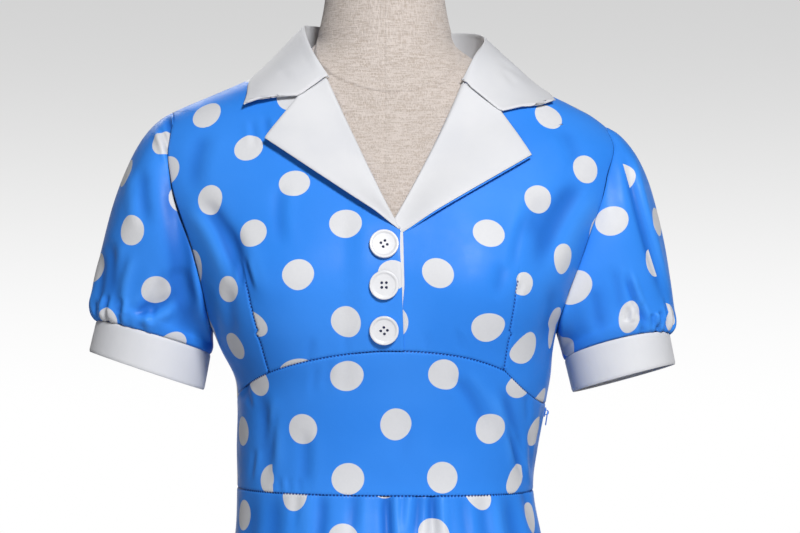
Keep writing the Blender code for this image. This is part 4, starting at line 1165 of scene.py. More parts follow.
def lay_out(place, s, t):
    """Points of a piece, a row for each t."""
    across, along = np.meshgrid(s, t)
    return place(across.ravel(), along.ravel()).reshape(len(t), len(s), 3)


def facing(points, closed=False):
    """Outward normals of a laid-out piece."""
    if closed:
        ring = np.concatenate((points[:, -2:-1], points, points[:, 1:2]), axis=1)
        across = (ring[:, 2:] - ring[:, :-2]) / 2
    else:
        across = np.gradient(points, axis=1)
    normal = np.cross(across, np.gradient(points, axis=0))
    return normal / np.maximum(np.linalg.norm(normal, axis=-1, keepdims=True), 1e-12)


def lengths(points, axis):
    """How far each point is along its row or column."""
    gaps = np.linalg.norm(np.diff(points, axis=axis), axis=-1)
    start = np.zeros_like(np.take(gaps, [0], axis=axis))
    return np.concatenate((start, np.cumsum(gaps, axis=axis)), axis=axis)


def beside_fold(points, fold, forward):
    """How far each point is along a fold, as a share of it, and beside it in millimetres."""
    x, z = points[..., 0] / MM, points[..., 2] / MM
    x0, z0, x1, z1, bow = fold[:5]
    run = math.hypot(x1 - x0, z1 - z0)
    dx, dz = (x1 - x0) / run, (z1 - z0) / run
    along = ((x - x0) * dx + (z - z0) * dz) / run
    inside = np.clip(along, 0, 1)
    # A fold's right is seen going down it from the front
    beside = (x - x0) * -dz + (z - z0) * dx
    return along, (beside - 4 * bow * inside * (1 - inside)) * forward


def folded(points, normals, folds, forward):
    """How far the folds move each point out, on the side of the piece that they are seen from."""
    seen = ease_in(-forward * normals[..., 1], *SEEN_FROM)
    out = np.zeros(points.shape[:-1])
    for fold in folds:
        width, depth, roll = fold[5:]
        along, beside = beside_fold(points, fold, forward)
        off = beside / width
        fade = ease_in(along, *FOLD_STARTS) * (1 - ease_in(along, *FOLD_STOPS))
        side = math.copysign(ROLL_BESIDE, roll)
        wave = -np.exp(-(off**2)) + abs(roll) * np.exp(-((off - side) ** 2))
        out += depth * MM * fade * wave
    return out * seen


def gathered(name, s, along):
    """How far the gathers above a cuff move a sleeve's cloth out."""
    side = name.rsplit("_", 1)[1]
    turn = np.degrees((sleeve_turn(side, s) + math.pi) % (2 * math.pi) - math.pi)[None, :]
    out = np.zeros_like(along)
    for at, width, depth, reach in GATHERS[name]:
        off = ((turn - at + 180) % 360 - 180) / width
        up = along / (reach * MM)
        fade = (1 - ease_in(up, 0.25, 1.0)) * (0.45 + 0.55 * ease_in(up, 0.0, 0.25))
        wave = 0.8 * np.exp(-((np.abs(off) - 1.5) ** 2)) - np.exp(-(off**2))
        out += depth * MM * fade * wave
    return out


def tucked(points, normals, tucks):
    """Half of the cloth that is hidden in tucks at each point, and its way past the nearest one."""
    seen = ease_in(-normals[..., 1], *SEEN_FROM)
    half = np.zeros(points.shape[:-1])
    past = np.full(points.shape[:-1], -1.0)
    for *tuck, intake in tucks:
        along, beside = beside_fold(points, tuck, 1)
        fade = ease_in(along, *TUCK_STARTS) * (1 - ease_in(along, *TUCK_STOPS))
        half += 0.5 * intake * MM * fade * seen * np.clip(1 - np.abs(beside) / TUCK_REACH, 0, 1)
        past = np.where(np.abs(beside) * MM < np.abs(past), beside * MM, past)
    return half, past


def uneven(points, depth):
    """A slow ripple over the whole piece."""
    x, y, z = np.moveaxis(points, -1, 0)
    waves = sum(share * np.sin(a * x + b * z + 37 * y + turn) for a, b, turn, share in RIPPLES)
    return depth * waves


def flatten(points, grain, slit=None):
    """Unwraps a laid-out piece, and says where its points lie on the flat cloth, in metres.

    The two tables differ only along a slit, a column that is open below a row: one is for the cloth
    before it and one for the cloth after it. The grain runs up between two (row, column) places.
    """
    rows, cols = points.shape[:2]
    before = np.arange(rows * cols).reshape(rows, cols)
    after = before.copy()
    verts = points.reshape(-1, 3)
    column, top = slit or (0, 0)
    if top:
        after[:top, column] = rows * cols + np.arange(top)
        verts = np.vstack((verts, points[:top, column]))

    first = (np.arange(cols - 1) < column)[None, :, None]
    quads = np.where(first, cell_corners(before, -1), cell_corners(after, -1)).reshape(-1, 4)
    mesh = bpy.data.meshes.new("flat")
    mesh.from_pydata(verts.tolist(), [], quads.tolist())
    mesh.uv_layers.new(name="flat")
    copy = bpy.data.objects.new("flat", mesh)
    bpy.context.scene.collection.objects.link(copy)
    pick(copy)
    bpy.ops.object.mode_set(mode="EDIT")
    bpy.ops.mesh.select_all(action="SELECT")
    bpy.ops.uv.unwrap(method="MINIMUM_STRETCH", margin=0.0)
    bpy.ops.object.mode_set(mode="OBJECT")
    read = np.zeros(2 * quads.size, np.float32)
    mesh.uv_layers["flat"].data.foreach_get("uv", read)
    area = sum(face.area for face in mesh.polygons)
    bpy.data.objects.remove(copy)
    bpy.data.meshes.remove(mesh)

    flat = np.zeros((len(verts), 2))
    flat[quads.ravel()] = read.reshape(-1, 2).astype(float)
    x, y = np.moveaxis(flat[quads], -1, 0)
    drawn = np.abs((x * np.roll(y, -1, axis=1) - y * np.roll(x, -1, axis=1)).sum(axis=1)).sum() / 2
    foot, head = (flat[before[place]] for place in grain)
    up = (head - foot) / np.linalg.norm(head - foot)
    turned = np.stack(((flat - foot) @ (up[1], -up[0]), (flat - foot) @ up), axis=-1)
    turned *= math.sqrt(area / drawn)
    return turned[before], turned[after]


def between(table, rows, cols, t, s):
    """Reads a table that is known at some rows and columns at all of t and s."""

    def weights(known, wanted):
        at = np.clip(np.searchsorted(known, wanted, side="right") - 1, 0, len(known) - 2)
        share = (wanted - known[at]) / (known[at + 1] - known[at])
        made = np.zeros((len(wanted), len(known)))
        made[np.arange(len(wanted)), at] = 1 - share
        made[np.arange(len(wanted)), at + 1] += share
        return made

    by_row = np.tensordot(weights(rows, t), table, axes=(1, 0))
    return np.moveaxis(np.tensordot(by_row, weights(cols, s), axes=(1, 1)), 2, 1)


def some_of(shares, length, keep=()):
    """A coarser choice of the shares of a length, with its ends and those to keep."""
    wanted = np.linspace(0, 1, min(max(3, round(length / FLAT_CELL)), FLAT_MOST) + 1)
    picked = {0, len(shares) - 1, *keep, *(int(np.abs(shares - w).argmin()) for w in wanted)}
    return np.array(sorted(picked))


def bends(points, shares):
    """The rows at which a piece's lines change their pace or direction, which coarse copies keep."""
    pace = np.diff(points, axis=0) / np.diff(shares)[:, None, None]
    turned = np.linalg.norm(np.diff(pace, axis=0), axis=-1)
    change = turned / np.maximum(np.linalg.norm(pace[1:], axis=-1), 1e-6)
    sharp = np.nonzero(change.max(axis=1) > FLAT_BEND)[0]
    return {int(row) for row in np.concatenate((sharp, sharp + 1, sharp + 2)) if row < len(shares)}


def cloth_place(points, normals, table, x, z):
    """Where a point of the piece, seen from the front at x and z, lies on its flat cloth."""
    offset = points[..., (0, 2)] - (x, z)
    near = np.exp(-((np.linalg.norm(offset, axis=-1) / LOOK_NEAR) ** 2) / 2)
    near = np.sqrt(near * (normals[..., 1] < SEEN_FROM[0]))
    used = near > 1e-4
    terms = np.column_stack((np.ones(used.sum()), offset[used])) * near[used][:, None]
    return np.linalg.lstsq(terms, table[used] * near[used][:, None], rcond=None)[0][0]


def eased_print(places, wanted):
    """A rule from a piece's flat cloth to the print: it is turned and moved to suit most of the
    known places, and then eased to each of them."""
    trust = np.ones(len(places))
    for _ in range(PRINT_TRIES):
        share = (trust / trust.sum())[:, None]
        middle, aim = (share * places[:, :2]).sum(axis=0), (share * wanted).sum(axis=0)
        left, _, right = np.linalg.svd((share * (places[:, :2] - middle)).T @ (wanted - aim))
        turn = left @ right
        off = np.linalg.norm((places[:, :2] - middle) @ turn + aim - wanted, axis=-1)
        trust = 1 / (1 + (off / PRINT_TRUST) ** 2)

    def straight(at):
        return (at[..., :2] - middle) @ turn + aim

    def reach(at):
        away = np.linalg.norm(at[..., None, :] - places, axis=-1)
        return np.exp(-((away / PRINT_EASE) ** 2) / 2)

    firm = reach(places) + PRINT_SLACK * np.eye(len(places))
    pull = np.linalg.solve(firm, wanted - straight(places))
    return lambda at: straight(at) + reach(at) @ pull


def print_rule(name, points, normals, table):
    """The rule from a piece's flat cloth to the printed cloth."""
    if name in PRINT_BEHIND:
        degrees, across, up = PRINT_BEHIND[name]
        turn = np.array(Matrix.Rotation(math.radians(degrees), 2))
        return lambda at: at[..., :2] @ turn.T + (across, up)
    known = np.array(PRINT_POINTS[name])
    places = [cloth_place(points, normals, table, x, z) for x, z in known[:, :2] * MM]
    return eased_print(np.array(places), known[:, 2:] * (DOT_ACROSS, DOT_UP))


def printed(name, points, normals, tucks, s, t, grain_s=0.5, slit=None, flat_of=None):
    """The corners' places on the printed cloth, for each cell of a laid-out piece, as they are
    before its tucks and as they are past them."""
    wide, tall = lengths(points, 1)[:, -1].max(), lengths(points, 0)[-1].max()
    column, top = slit or (0, 0)
    grain_column = int(np.abs(s - grain_s).argmin())
    plain = points if flat_of is None else flat_of
    cols = some_of(s, wide, (column, grain_column, *bends(plain.swapaxes(0, 1), s)))
    rows = some_of(t, tall, (top, *bends(plain, t)))
    coarse = points[np.ix_(rows, cols)]
    at_grain = int(np.searchsorted(cols, grain_column))
    grain = ((0, at_grain), (len(rows) - 1, at_grain))
    coarse_slit = (int(np.searchsorted(cols, column)), int(np.searchsorted(rows, top))) if slit else None
    before, after = (
        between(table, t[rows], s[cols], t, s) for table in flatten(coarse, grain, coarse_slit)
    )
    half, past = tucks
    # The third number keeps the cloth beyond a dart apart from the cloth before it
    apart = DART_APART * np.clip(1 - t / t[top], 0, 1)[:, None] if slit else np.zeros((len(t), 1))
    before = np.dstack((before, np.zeros_like(half)))
    after = np.dstack((after, np.broadcast_to(apart, half.shape)))
    first = (np.arange(len(s)) <= column)[None, :, None]
    split = np.where(first, before, after) if slit else before
    across = np.array((1.0, 0.0, 0.0))
    rule = print_rule(name, points, normals, split + np.where(past > 0, half, -half)[..., None] * across)

    def corners(table, low, high):
        return cell_corners(rule(table[:, low:high]), 2)

    both = []
    for side in (-1, 1):
        drawn = side * half[..., None] * across
        if slit:
            parts = corners(before + drawn, 0, column + 1), corners(after + drawn, column, len(s))
            both.append(np.concatenate(parts, axis=1))
        else:
            both.append(corners(before + drawn, 0, len(s)))
    return both


def woven_mesh(name, points, closed, cells=(), stitches=None, told=()):
    """A mesh of a laid-out piece, with its place on the cloth, its distance to a stitched line, and
    other numbers that its finish reads."""
    rows, cols = points.shape[:2]
    if closed:
        index = np.arange(rows * (cols - 1)).reshape(rows, cols - 1)
        index = np.hstack((index, index[:, :1]))
        used = points[:, :-1]
    else:
        index = np.arange(rows * cols).reshape(rows, cols)
        used = points
    quads = cell_corners(index, -1)
    mesh = bpy.data.meshes.new(name)
    mesh.from_pydata(used.reshape(-1, 3).tolist(), [], quads.reshape(-1, 4).tolist())
    for layer_name, places in zip(("cloth", "cloth_past"), cells):
        layer = mesh.uv_layers.new(name=layer_name)
        layer.data.foreach_set("uv", places.astype(np.float32).ravel())
    if stitches is not None:
        kept = stitches[:, :-1] if closed else stitches
        attribute = mesh.attributes.new("stitch", "FLOAT_VECTOR", "POINT")
        attribute.data.foreach_set("vector", kept.astype(np.float32).ravel())
    for told_name, value in told:
        kept = value[:, :-1] if closed else value
        attribute = mesh.attributes.new(told_name, "FLOAT", "POINT")
        attribute.data.foreach_set("value", kept.astype(np.float32).ravel())
    mesh.shade_smooth()
    made = bpy.data.objects.new(name, mesh)
    bpy.context.scene.collection.objects.link(made)
    return made


def sew(name, place, s, t, finish, wall, *, dips=(0, 0, 0, 0), stitched="", slit=None, closed=False,
        ripple=0.0, grain_s=0.5, reverse=None):
    """Makes one cloth piece. dips turn in its edges at s 0, s 1, t 0 and t 1, and stitched names
    those that show their stitches, as a, b, c and d in that order. A slit shows its stitches too."""
    points = lay_out(place, s, t)
    laid, normals = points, facing(points, closed)
    across, along = lengths(points, 1), lengths(points, 0)
    creased = folded(points, normals, FRONT_FOLDS.get(name, ()), 1)
    creased += folded(points, normals, BACK_FOLDS.get(name, ()), -1)
    creased += gathered(name, s, along) if name in GATHERS else 0
    out = uneven(points, ripple) + creased
    edges = (across, across[:, -1:] - across, along, along[-1:] - along)
    runs = (along, along, across, across)
    for dip, away in zip(dips, edges):
        out -= dip * np.exp(-((away / SEAM_ROUND) ** 2))
    lines = [(away, run) for key, away, run in zip("abcd", edges, runs) if key in stitched]
    if slit:
        column, top = slit
        beside = np.abs(across - across[:, column : column + 1])
        below = 1 - ease_in(t, t[top] - DART_FADE[0], t[top] + DART_FADE[1])[:, None]
        out -= DART_DIP * below * np.exp(-((beside / SEAM_ROUND) ** 2))
        past_point = (t > t[top])[:, None] * 1.0
        up_dart = np.broadcast_to(along[:, column : column + 1], along.shape)
        lines.append((beside + past_point, up_dart))
    points = points + normals * out[..., None]
    stitches = None
    if lines:
        away = np.stack([line[0] for line in lines])
        run = np.stack([line[1] for line in lines])
        nearest = away.argmin(axis=0)[None]
        stitches = np.stack(
            (
                np.take_along_axis(away, nearest, 0)[0],
                np.take_along_axis(run, nearest, 0)[0],
                np.zeros_like(along),
            ),
            axis=-1,
        )
    cells = ()
    tucks = tucked(points, normals, TUCKS.get(name, ()))
    if name in PRINT_POINTS or name in PRINT_BEHIND:
        cells = printed(name, points, normals, tucks, s, t, grain_s, slit, laid)
    # The fold depth, which the satin reads for its painted crease shade and highlight
    told = (("crease", creased / FOLD_SHADE), ("past_tuck", tucks[1]))
    piece = woven_mesh(name + "_cloth", points, closed, cells, stitches, told)
    piece.data.materials.append(finish)
    if reverse:
        piece.data.materials.append(reverse)
    thicken(piece, wall, reverse is not None)
    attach(piece, DRESS_BODY)
    return piece


# ---------------------------------------------------------------- Blender helpers


def nothing_picked():
    for other in bpy.context.selected_objects:
        other.select_set(False)


def pick(piece):
    """Selects only this piece."""
    nothing_picked()
    piece.select_set(True)
    bpy.context.view_layer.objects.active = piece


def apply_modifiers(piece):
    pick(piece)
    for modifier in list(piece.modifiers):
        bpy.ops.object.modifier_apply(modifier=modifier.name)


def cut_by(piece, tool, operation="DIFFERENCE"):
    """Cuts or joins a piece by a tool, and removes the tool."""
    cut = piece.modifiers.new("Cut", "BOOLEAN")
    cut.operation = operation
    cut.object = tool
    apply_modifiers(piece)
    bpy.data.objects.remove(tool)


def thicken(piece, wall, two_sided=False):
    """Gives a cloth its wall inwards, with its reverse in the second material."""
    solid = piece.modifiers.new("Wall", "SOLIDIFY")
    solid.thickness = wall
    solid.offset = -1.0
    solid.material_offset = 1 if two_sided else 0
    apply_modifiers(piece)


# ---------------------------------------------------------------- finishes


def node(tree, kind, settings=None, inputs=None):
    """Adds a shader node; an input is a value or another node's socket."""
    made = tree.nodes.new("ShaderNode" + kind)
    for key, value in (settings or {}).items():
        setattr(made, key, value)
    for key, value in (inputs or {}).items():
        if isinstance(value, bpy.types.NodeSocket):
            tree.links.new(value, made.inputs[key])
        else:
            made.inputs[key].default_value = value
    return made


def math_node(tree, operation, *values, clamp=False):
    """A Math node's result."""
    settings = {"operation": operation, "use_clamp": clamp}
    return node(tree, "Math", settings, dict(enumerate(values))).outputs[0]


def vector_node(tree, operation, *values):
    """A Vector Math node's result."""
    made = node(tree, "VectorMath", {"operation": operation}, dict(enumerate(values)))
    return made.outputs["Value" if operation in ("LENGTH", "DISTANCE") else "Vector"]


def mixed(tree, share, first, second):
    """A colour between two."""
    made = node(tree, "Mix", {"data_type": "RGBA"}, {0: share, 6: first, 7: second})
    return made.outputs[2]


def stepped(tree, value, low, high, to_low, to_high):
    """A value taken from one range to another, and held at its ends."""
    inputs = {0: value, 1: low, 2: high, 3: to_low, 4: to_high}
    return node(tree, "MapRange", {"interpolation_type": "SMOOTHSTEP"}, inputs).outputs[0]


def noise(tree, place, scale, detail=2.0, roughness=0.5):
    """A noise's value."""
    inputs = {"Vector": place, "Scale": scale, "Detail": detail, "Roughness": roughness}
    return node(tree, "TexNoise", None, inputs).outputs[0]


def new_finish(name, roughness, metallic=0.0):
    """A material with its Principled shader and the place on the piece."""
    made = bpy.data.materials.new(name)
    made.use_nodes = True
    tree = made.node_tree
    shader = tree.nodes["Principled BSDF"]
    shader.inputs["Roughness"].default_value = roughness
    shader.inputs["Metallic"].default_value = metallic
    place = node(tree, "TexCoord").outputs["Object"]
    return made, tree, shader, place


def set_socket(shader, name, value):
    shader.inputs[name].default_value = value


def times(tree, value, by):
    return math_node(tree, "MULTIPLY", value, by)


def together(tree, first, second):
    """The sum of two values, each given with its weight."""
    return math_node(tree, "ADD", times(tree, *first), times(tree, *second))


def paint(tree, shader, colour):
    tree.links.new(colour, shader.inputs["Base Color"])


def bumped(tree, shader, height, distance, strength=1.0):
    """Gives the shader a fine relief."""
    made = node(tree, "Bump", None, {"Height": height, "Distance": distance, "Strength": strength})
    tree.links.new(made.outputs[0], shader.inputs["Normal"])


FOLD_SHADE = 0.0016  # the fold depth at which the painted shade in a crease is darkest
SATIN_BLUE = (0.026, 0.2, 0.7, 1.0)
SATIN_BRIGHT = (0.035, 0.222, 0.74, 1.0)
SATIN_CREASE_SHADE = (0.008, 0.085, 0.4, 1.0)  # painted shade where the satin turns into a crease
SATIN_RIDGE_HIGHLIGHT = (0.062, 0.3, 0.86, 1.0)  # and painted highlight where it stands out of one
THREAD_BLUE = (0.004, 0.022, 0.16, 1.0)
DOT_WHITE = (0.56, 0.566, 0.59, 1.0)
DOT_BRIGHT = (0.605, 0.608, 0.626, 1.0)
# painted shade on the white dots in a crease
DOT_CREASE_SHADE = (0.33, 0.345, 0.4, 1.0)
REVERSE_BLUE = (0.085, 0.24, 0.64, 1.0)
REVERSE_DOT = (0.42, 0.5, 0.68, 1.0)
TRIM_WHITE = (0.575, 0.582, 0.61, 1.0)
TRIM_BRIGHT = (0.61, 0.614, 0.634, 1.0)
LINEN_LIGHT = (0.6, 0.532, 0.49, 1.0)
LINEN_DARK = (0.43, 0.362, 0.312, 1.0)
RESIN = (0.64, 0.646, 0.672, 1.0), (0.68, 0.682, 0.698, 1.0)
NAVY = (0.004, 0.006, 0.03, 1.0), (0.014, 0.022, 0.085, 1.0)
ENAMEL, ENAMEL_WORN = (0.035, 0.18, 0.64, 1.0), (0.3, 0.36, 0.5, 1.0)
STEEL = (0.5, 0.51, 0.52, 1.0), (0.64, 0.65, 0.66, 1.0)
FLOOR_PALE = (0.5, 0.5, 0.51, 1.0), (0.54, 0.54, 0.55, 1.0)


def dots(tree):
    """1 inside a printed dot and 0 outside, from the piece's place on the cloth."""
    past = node(tree, "Attribute", {"attribute_name": "past_tuck"}).outputs["Fac"]
    choice = node(tree, "Mix", {"data_type": "VECTOR"}, {0: math_node(tree, "GREATER_THAN", past, 0.0)})
    for socket, layer in ((4, "cloth"), (5, "cloth_past")):
        tree.links.new(node(tree, "UVMap", {"uv_map": layer}).outputs[0], choice.inputs[socket])
    cloth = choice.outputs[1]
    repeat = (DOT_ACROSS, DOT_UP, 0.0)
    reaches = []
    for shift in (0.0, 0.5):
        cell = vector_node(tree, "DIVIDE", cloth, (DOT_ACROSS, DOT_UP, 1.0))
        moved = vector_node(tree, "ADD", cell, (shift, shift, 0.0))
        inside = vector_node(tree, "SUBTRACT", vector_node(tree, "FRACTION", moved), (0.5, 0.5, 0.0))
        reaches.append(vector_node(tree, "LENGTH", vector_node(tree, "MULTIPLY", inside, repeat)))
    reach = math_node(tree, "MINIMUM", *reaches)
    return stepped(tree, reach, DOT_RADIUS - 0.0002, DOT_RADIUS + 0.0002, 1.0, 0.0)


def stitch_marks(tree):
    """1 on a stitch of the seam's thread, the distance to the line, and the share along a stitch."""
    read = node(tree, "Attribute", {"attribute_name": "stitch"}).outputs["Vector"]
    parts = node(tree, "SeparateXYZ", None, {0: read})
    away, run = parts.outputs[0], parts.outputs[1]
    along = math_node(tree, "FRACT", math_node(tree, "DIVIDE", run, STITCH_LONG))
    off_middle = math_node(tree, "ABSOLUTE", math_node(tree, "SUBTRACT", along, 0.5))
    dash = stepped(tree, off_middle, 0.22, 0.34, 1.0, 0.0)
    near = stepped(tree, away, 0.4 * STITCH_WIDE, STITCH_WIDE, 1.0, 0.0)
    return times(tree, dash, near), away, along


def satin(name, stitched):
    """Blue satin-faced cloth printed with white dots, with painted shade in its creases and a painted
    highlight beside them.
    """
    made, tree, shader, place = new_finish(name, 0.42)
    set_socket(shader, "Specular IOR Level", 0.13)
    broad = noise(tree, place, 9.0, 2.0)
    blue = mixed(tree, stepped(tree, broad, 0.35, 0.65, 0.0, 1.0), SATIN_BLUE, SATIN_BRIGHT)
    # Painted shade in the creases and painted highlight on the raised cloth beside them, from the fold
    # depth
    crease = node(tree, "Attribute", {"attribute_name": "crease"}).outputs["Fac"]
    blue = mixed(tree, stepped(tree, crease, -2.0, 0.0, 0.62, 0.0), blue, SATIN_CREASE_SHADE)
    blue = mixed(tree, stepped(tree, crease, 0.0, 1.0, 0.0, 0.3), blue, SATIN_RIDGE_HIGHLIGHT)
    dot = dots(tree)
    speckle = noise(tree, place, 420.0, 3.0, 0.6)
    white = mixed(tree, speckle, DOT_WHITE, DOT_BRIGHT)
    # Painted shade on the dots in the creases
    white = mixed(tree, stepped(tree, crease, -1.2, 0.0, 0.2, 0.0), white, DOT_CREASE_SHADE)
    colour = mixed(tree, dot, blue, white)
    weave = noise(tree, vector_node(tree, "MULTIPLY", place, (900.0, 900.0, 2600.0)), 1.0, 2.0)
    crepe = noise(tree, place, 70.0, 3.0, 0.55)
    height = together(tree, (weave, 0.25), (crepe, 0.75))
    if stitched:
        dash, away, along = stitch_marks(tree)
        colour = mixed(tree, times(tree, dash, 0.85), colour, THREAD_BLUE)
        beside = stepped(tree, away, 0.0, 0.005, 1.0, 0.0)
        wave = math_node(tree, "SINE", times(tree, along, 2 * math.pi))
        pucker = times(tree, beside, wave)
        height = math_node(tree, "ADD", height, times(tree, pucker, 0.35))
    paint(tree, shader, colour)
    rough = stepped(tree, crepe, 0.3, 0.7, 0.38, 0.48)
    tree.links.new(rough, shader.inputs["Roughness"])
    bumped(tree, shader, height, 0.00022)
    return made


def satin_reverse():
    """The unprinted side of the satin, where the print shows through faintly."""
    made, tree, shader, place = new_finish("satin_reverse", 0.6)
    colour = mixed(tree, dots(tree), REVERSE_BLUE, REVERSE_DOT)
    paint(tree, shader, colour)
    bumped(tree, shader, noise(tree, place, 1500.0, 2.0), 0.0001)
    return made


def white_trim():
    """Plain white cotton, fine and matt."""
    made, tree, shader, place = new_finish("white_cotton", 0.62)
    set_socket(shader, "Sheen Weight", 0.18)
    set_socket(shader, "Sheen Roughness", 0.5)
    shade = stepped(tree, noise(tree, place, 22.0, 3.0), 0.3, 0.7, 0.0, 1.0)
    colour = mixed(tree, shade, TRIM_WHITE, TRIM_BRIGHT)
    paint(tree, shader, colour)
    weave = {"Vector": place, "Scale": 520.0, "Distortion": 0.6}
    across, up = (node(tree, "TexWave", {"bands_direction": way}, weave).outputs[1] for way in "XZ")
    threads = times(tree, across, up)
    soft = noise(tree, place, 60.0, 3.0)
    bumped(tree, shader, together(tree, (threads, 0.3), (soft, 0.7)), 0.00025)
    return made


def linen():
    """Natural linen: uneven threads both ways with slubs, matt."""
    made, tree, shader, place = new_finish("form_linen", 0.9)
    set_socket(shader, "Sheen Weight", 0.25)
    set_socket(shader, "Specular IOR Level", 0.2)
    wander = node(tree, "TexNoise", None, {"Vector": place, "Scale": 14.0}).outputs[1]
    warped = vector_node(tree, "SCALE", wander)
    warped.node.inputs["Scale"].default_value = 0.006
    place = vector_node(tree, "ADD", place, warped)
    threads, slubs = [], []
    for stretch in ((110.0, 110.0, 1300.0), (1300.0, 1300.0, 110.0)):
        drawn = vector_node(tree, "MULTIPLY", place, stretch)
        threads.append(stepped(tree, noise(tree, drawn, 1.0, 2.0, 0.6), 0.36, 0.64, 0.0, 1.0))
    for stretch in ((50.0, 50.0, 900.0), (900.0, 900.0, 60.0)):
        drawn = vector_node(tree, "MULTIPLY", place, stretch)
        slubs.append(stepped(tree, noise(tree, drawn, 1.0, 1.0), 0.4, 0.66, 0.0, 1.0))
    weave = times(tree, math_node(tree, "ADD", *threads), 0.5)
    slub = math_node(tree, "MAXIMUM", *slubs)
    both = together(tree, (weave, 0.8), (slub, 0.2))
    colour = mixed(tree, stepped(tree, both, 0.1, 0.72, 0.0, 1.0), LINEN_DARK, LINEN_LIGHT)
    paint(tree, shader, colour)
    bumped(tree, shader, both, 0.0006)
    return made


def button_shell():
    """White polished resin."""
    made, tree, shader, place = new_finish("button_resin", 0.28)
    set_socket(shader, "Coat Weight", 0.25)
    shade = noise(tree, place, 180.0, 2.0)
    colour = mixed(tree, shade, *RESIN)
    paint(tree, shader, colour)
    bumped(tree, shader, noise(tree, place, 900.0, 2.0), 0.00004)
    return made


def navy_thread():
    """Navy sewing thread."""
    made, tree, shader, place = new_finish("navy_thread", 0.7)
    shade = noise(tree, place, 2500.0, 1.0)
    colour = mixed(tree, shade, *NAVY)
    paint(tree, shader, colour)
    twist = node(tree, "TexWave", {"bands_direction": "DIAGONAL"}, {"Vector": place, "Scale": 900.0})
    bumped(tree, shader, twist.outputs[1], 0.0001)
    return made


def enamel():
    """The zip's painted metal, worn a little at random."""
    made, tree, shader, place = new_finish("zip_enamel", 0.35, 0.3)
    worn = stepped(tree, noise(tree, place, 900.0, 3.0), 0.62, 0.7, 0.0, 0.6)
    colour = mixed(tree, worn, ENAMEL, ENAMEL_WORN)
    paint(tree, shader, colour)
    bumped(tree, shader, noise(tree, place, 1600.0, 2.0), 0.00003)
    return made


def brushed_steel():
    made, tree, shader, place = new_finish("stand_steel", 0.32, 1.0)
    drawn = vector_node(tree, "MULTIPLY", place, (700.0, 700.0, 22.0))
    lines = noise(tree, drawn, 1.0, 3.0)
    colour = mixed(tree, lines, *STEEL)
    paint(tree, shader, colour)
    tree.links.new(stepped(tree, lines, 0.3, 0.7, 0.26, 0.4), shader.inputs["Roughness"])
    bumped(tree, shader, lines, 0.00003)
    return made


def pale_floor():
    made, tree, shader, place = new_finish("pale_floor", 0.8)
    shade = noise(tree, place, 1.2, 2.0)
    colour = mixed(tree, shade, *FLOOR_PALE)
    paint(tree, shader, colour)
    return made


# ---------------------------------------------------------------- the dress


def grid(kind, cell, row=None, ends=(True, True, True, True)):
    """The lines across and up a piece, with closer ones beside the edges that are turned in."""
    wide, long = ABOUT[kind]
    return steps(wide, cell, *ends[:2]), steps(long, row or cell, *ends[2:])


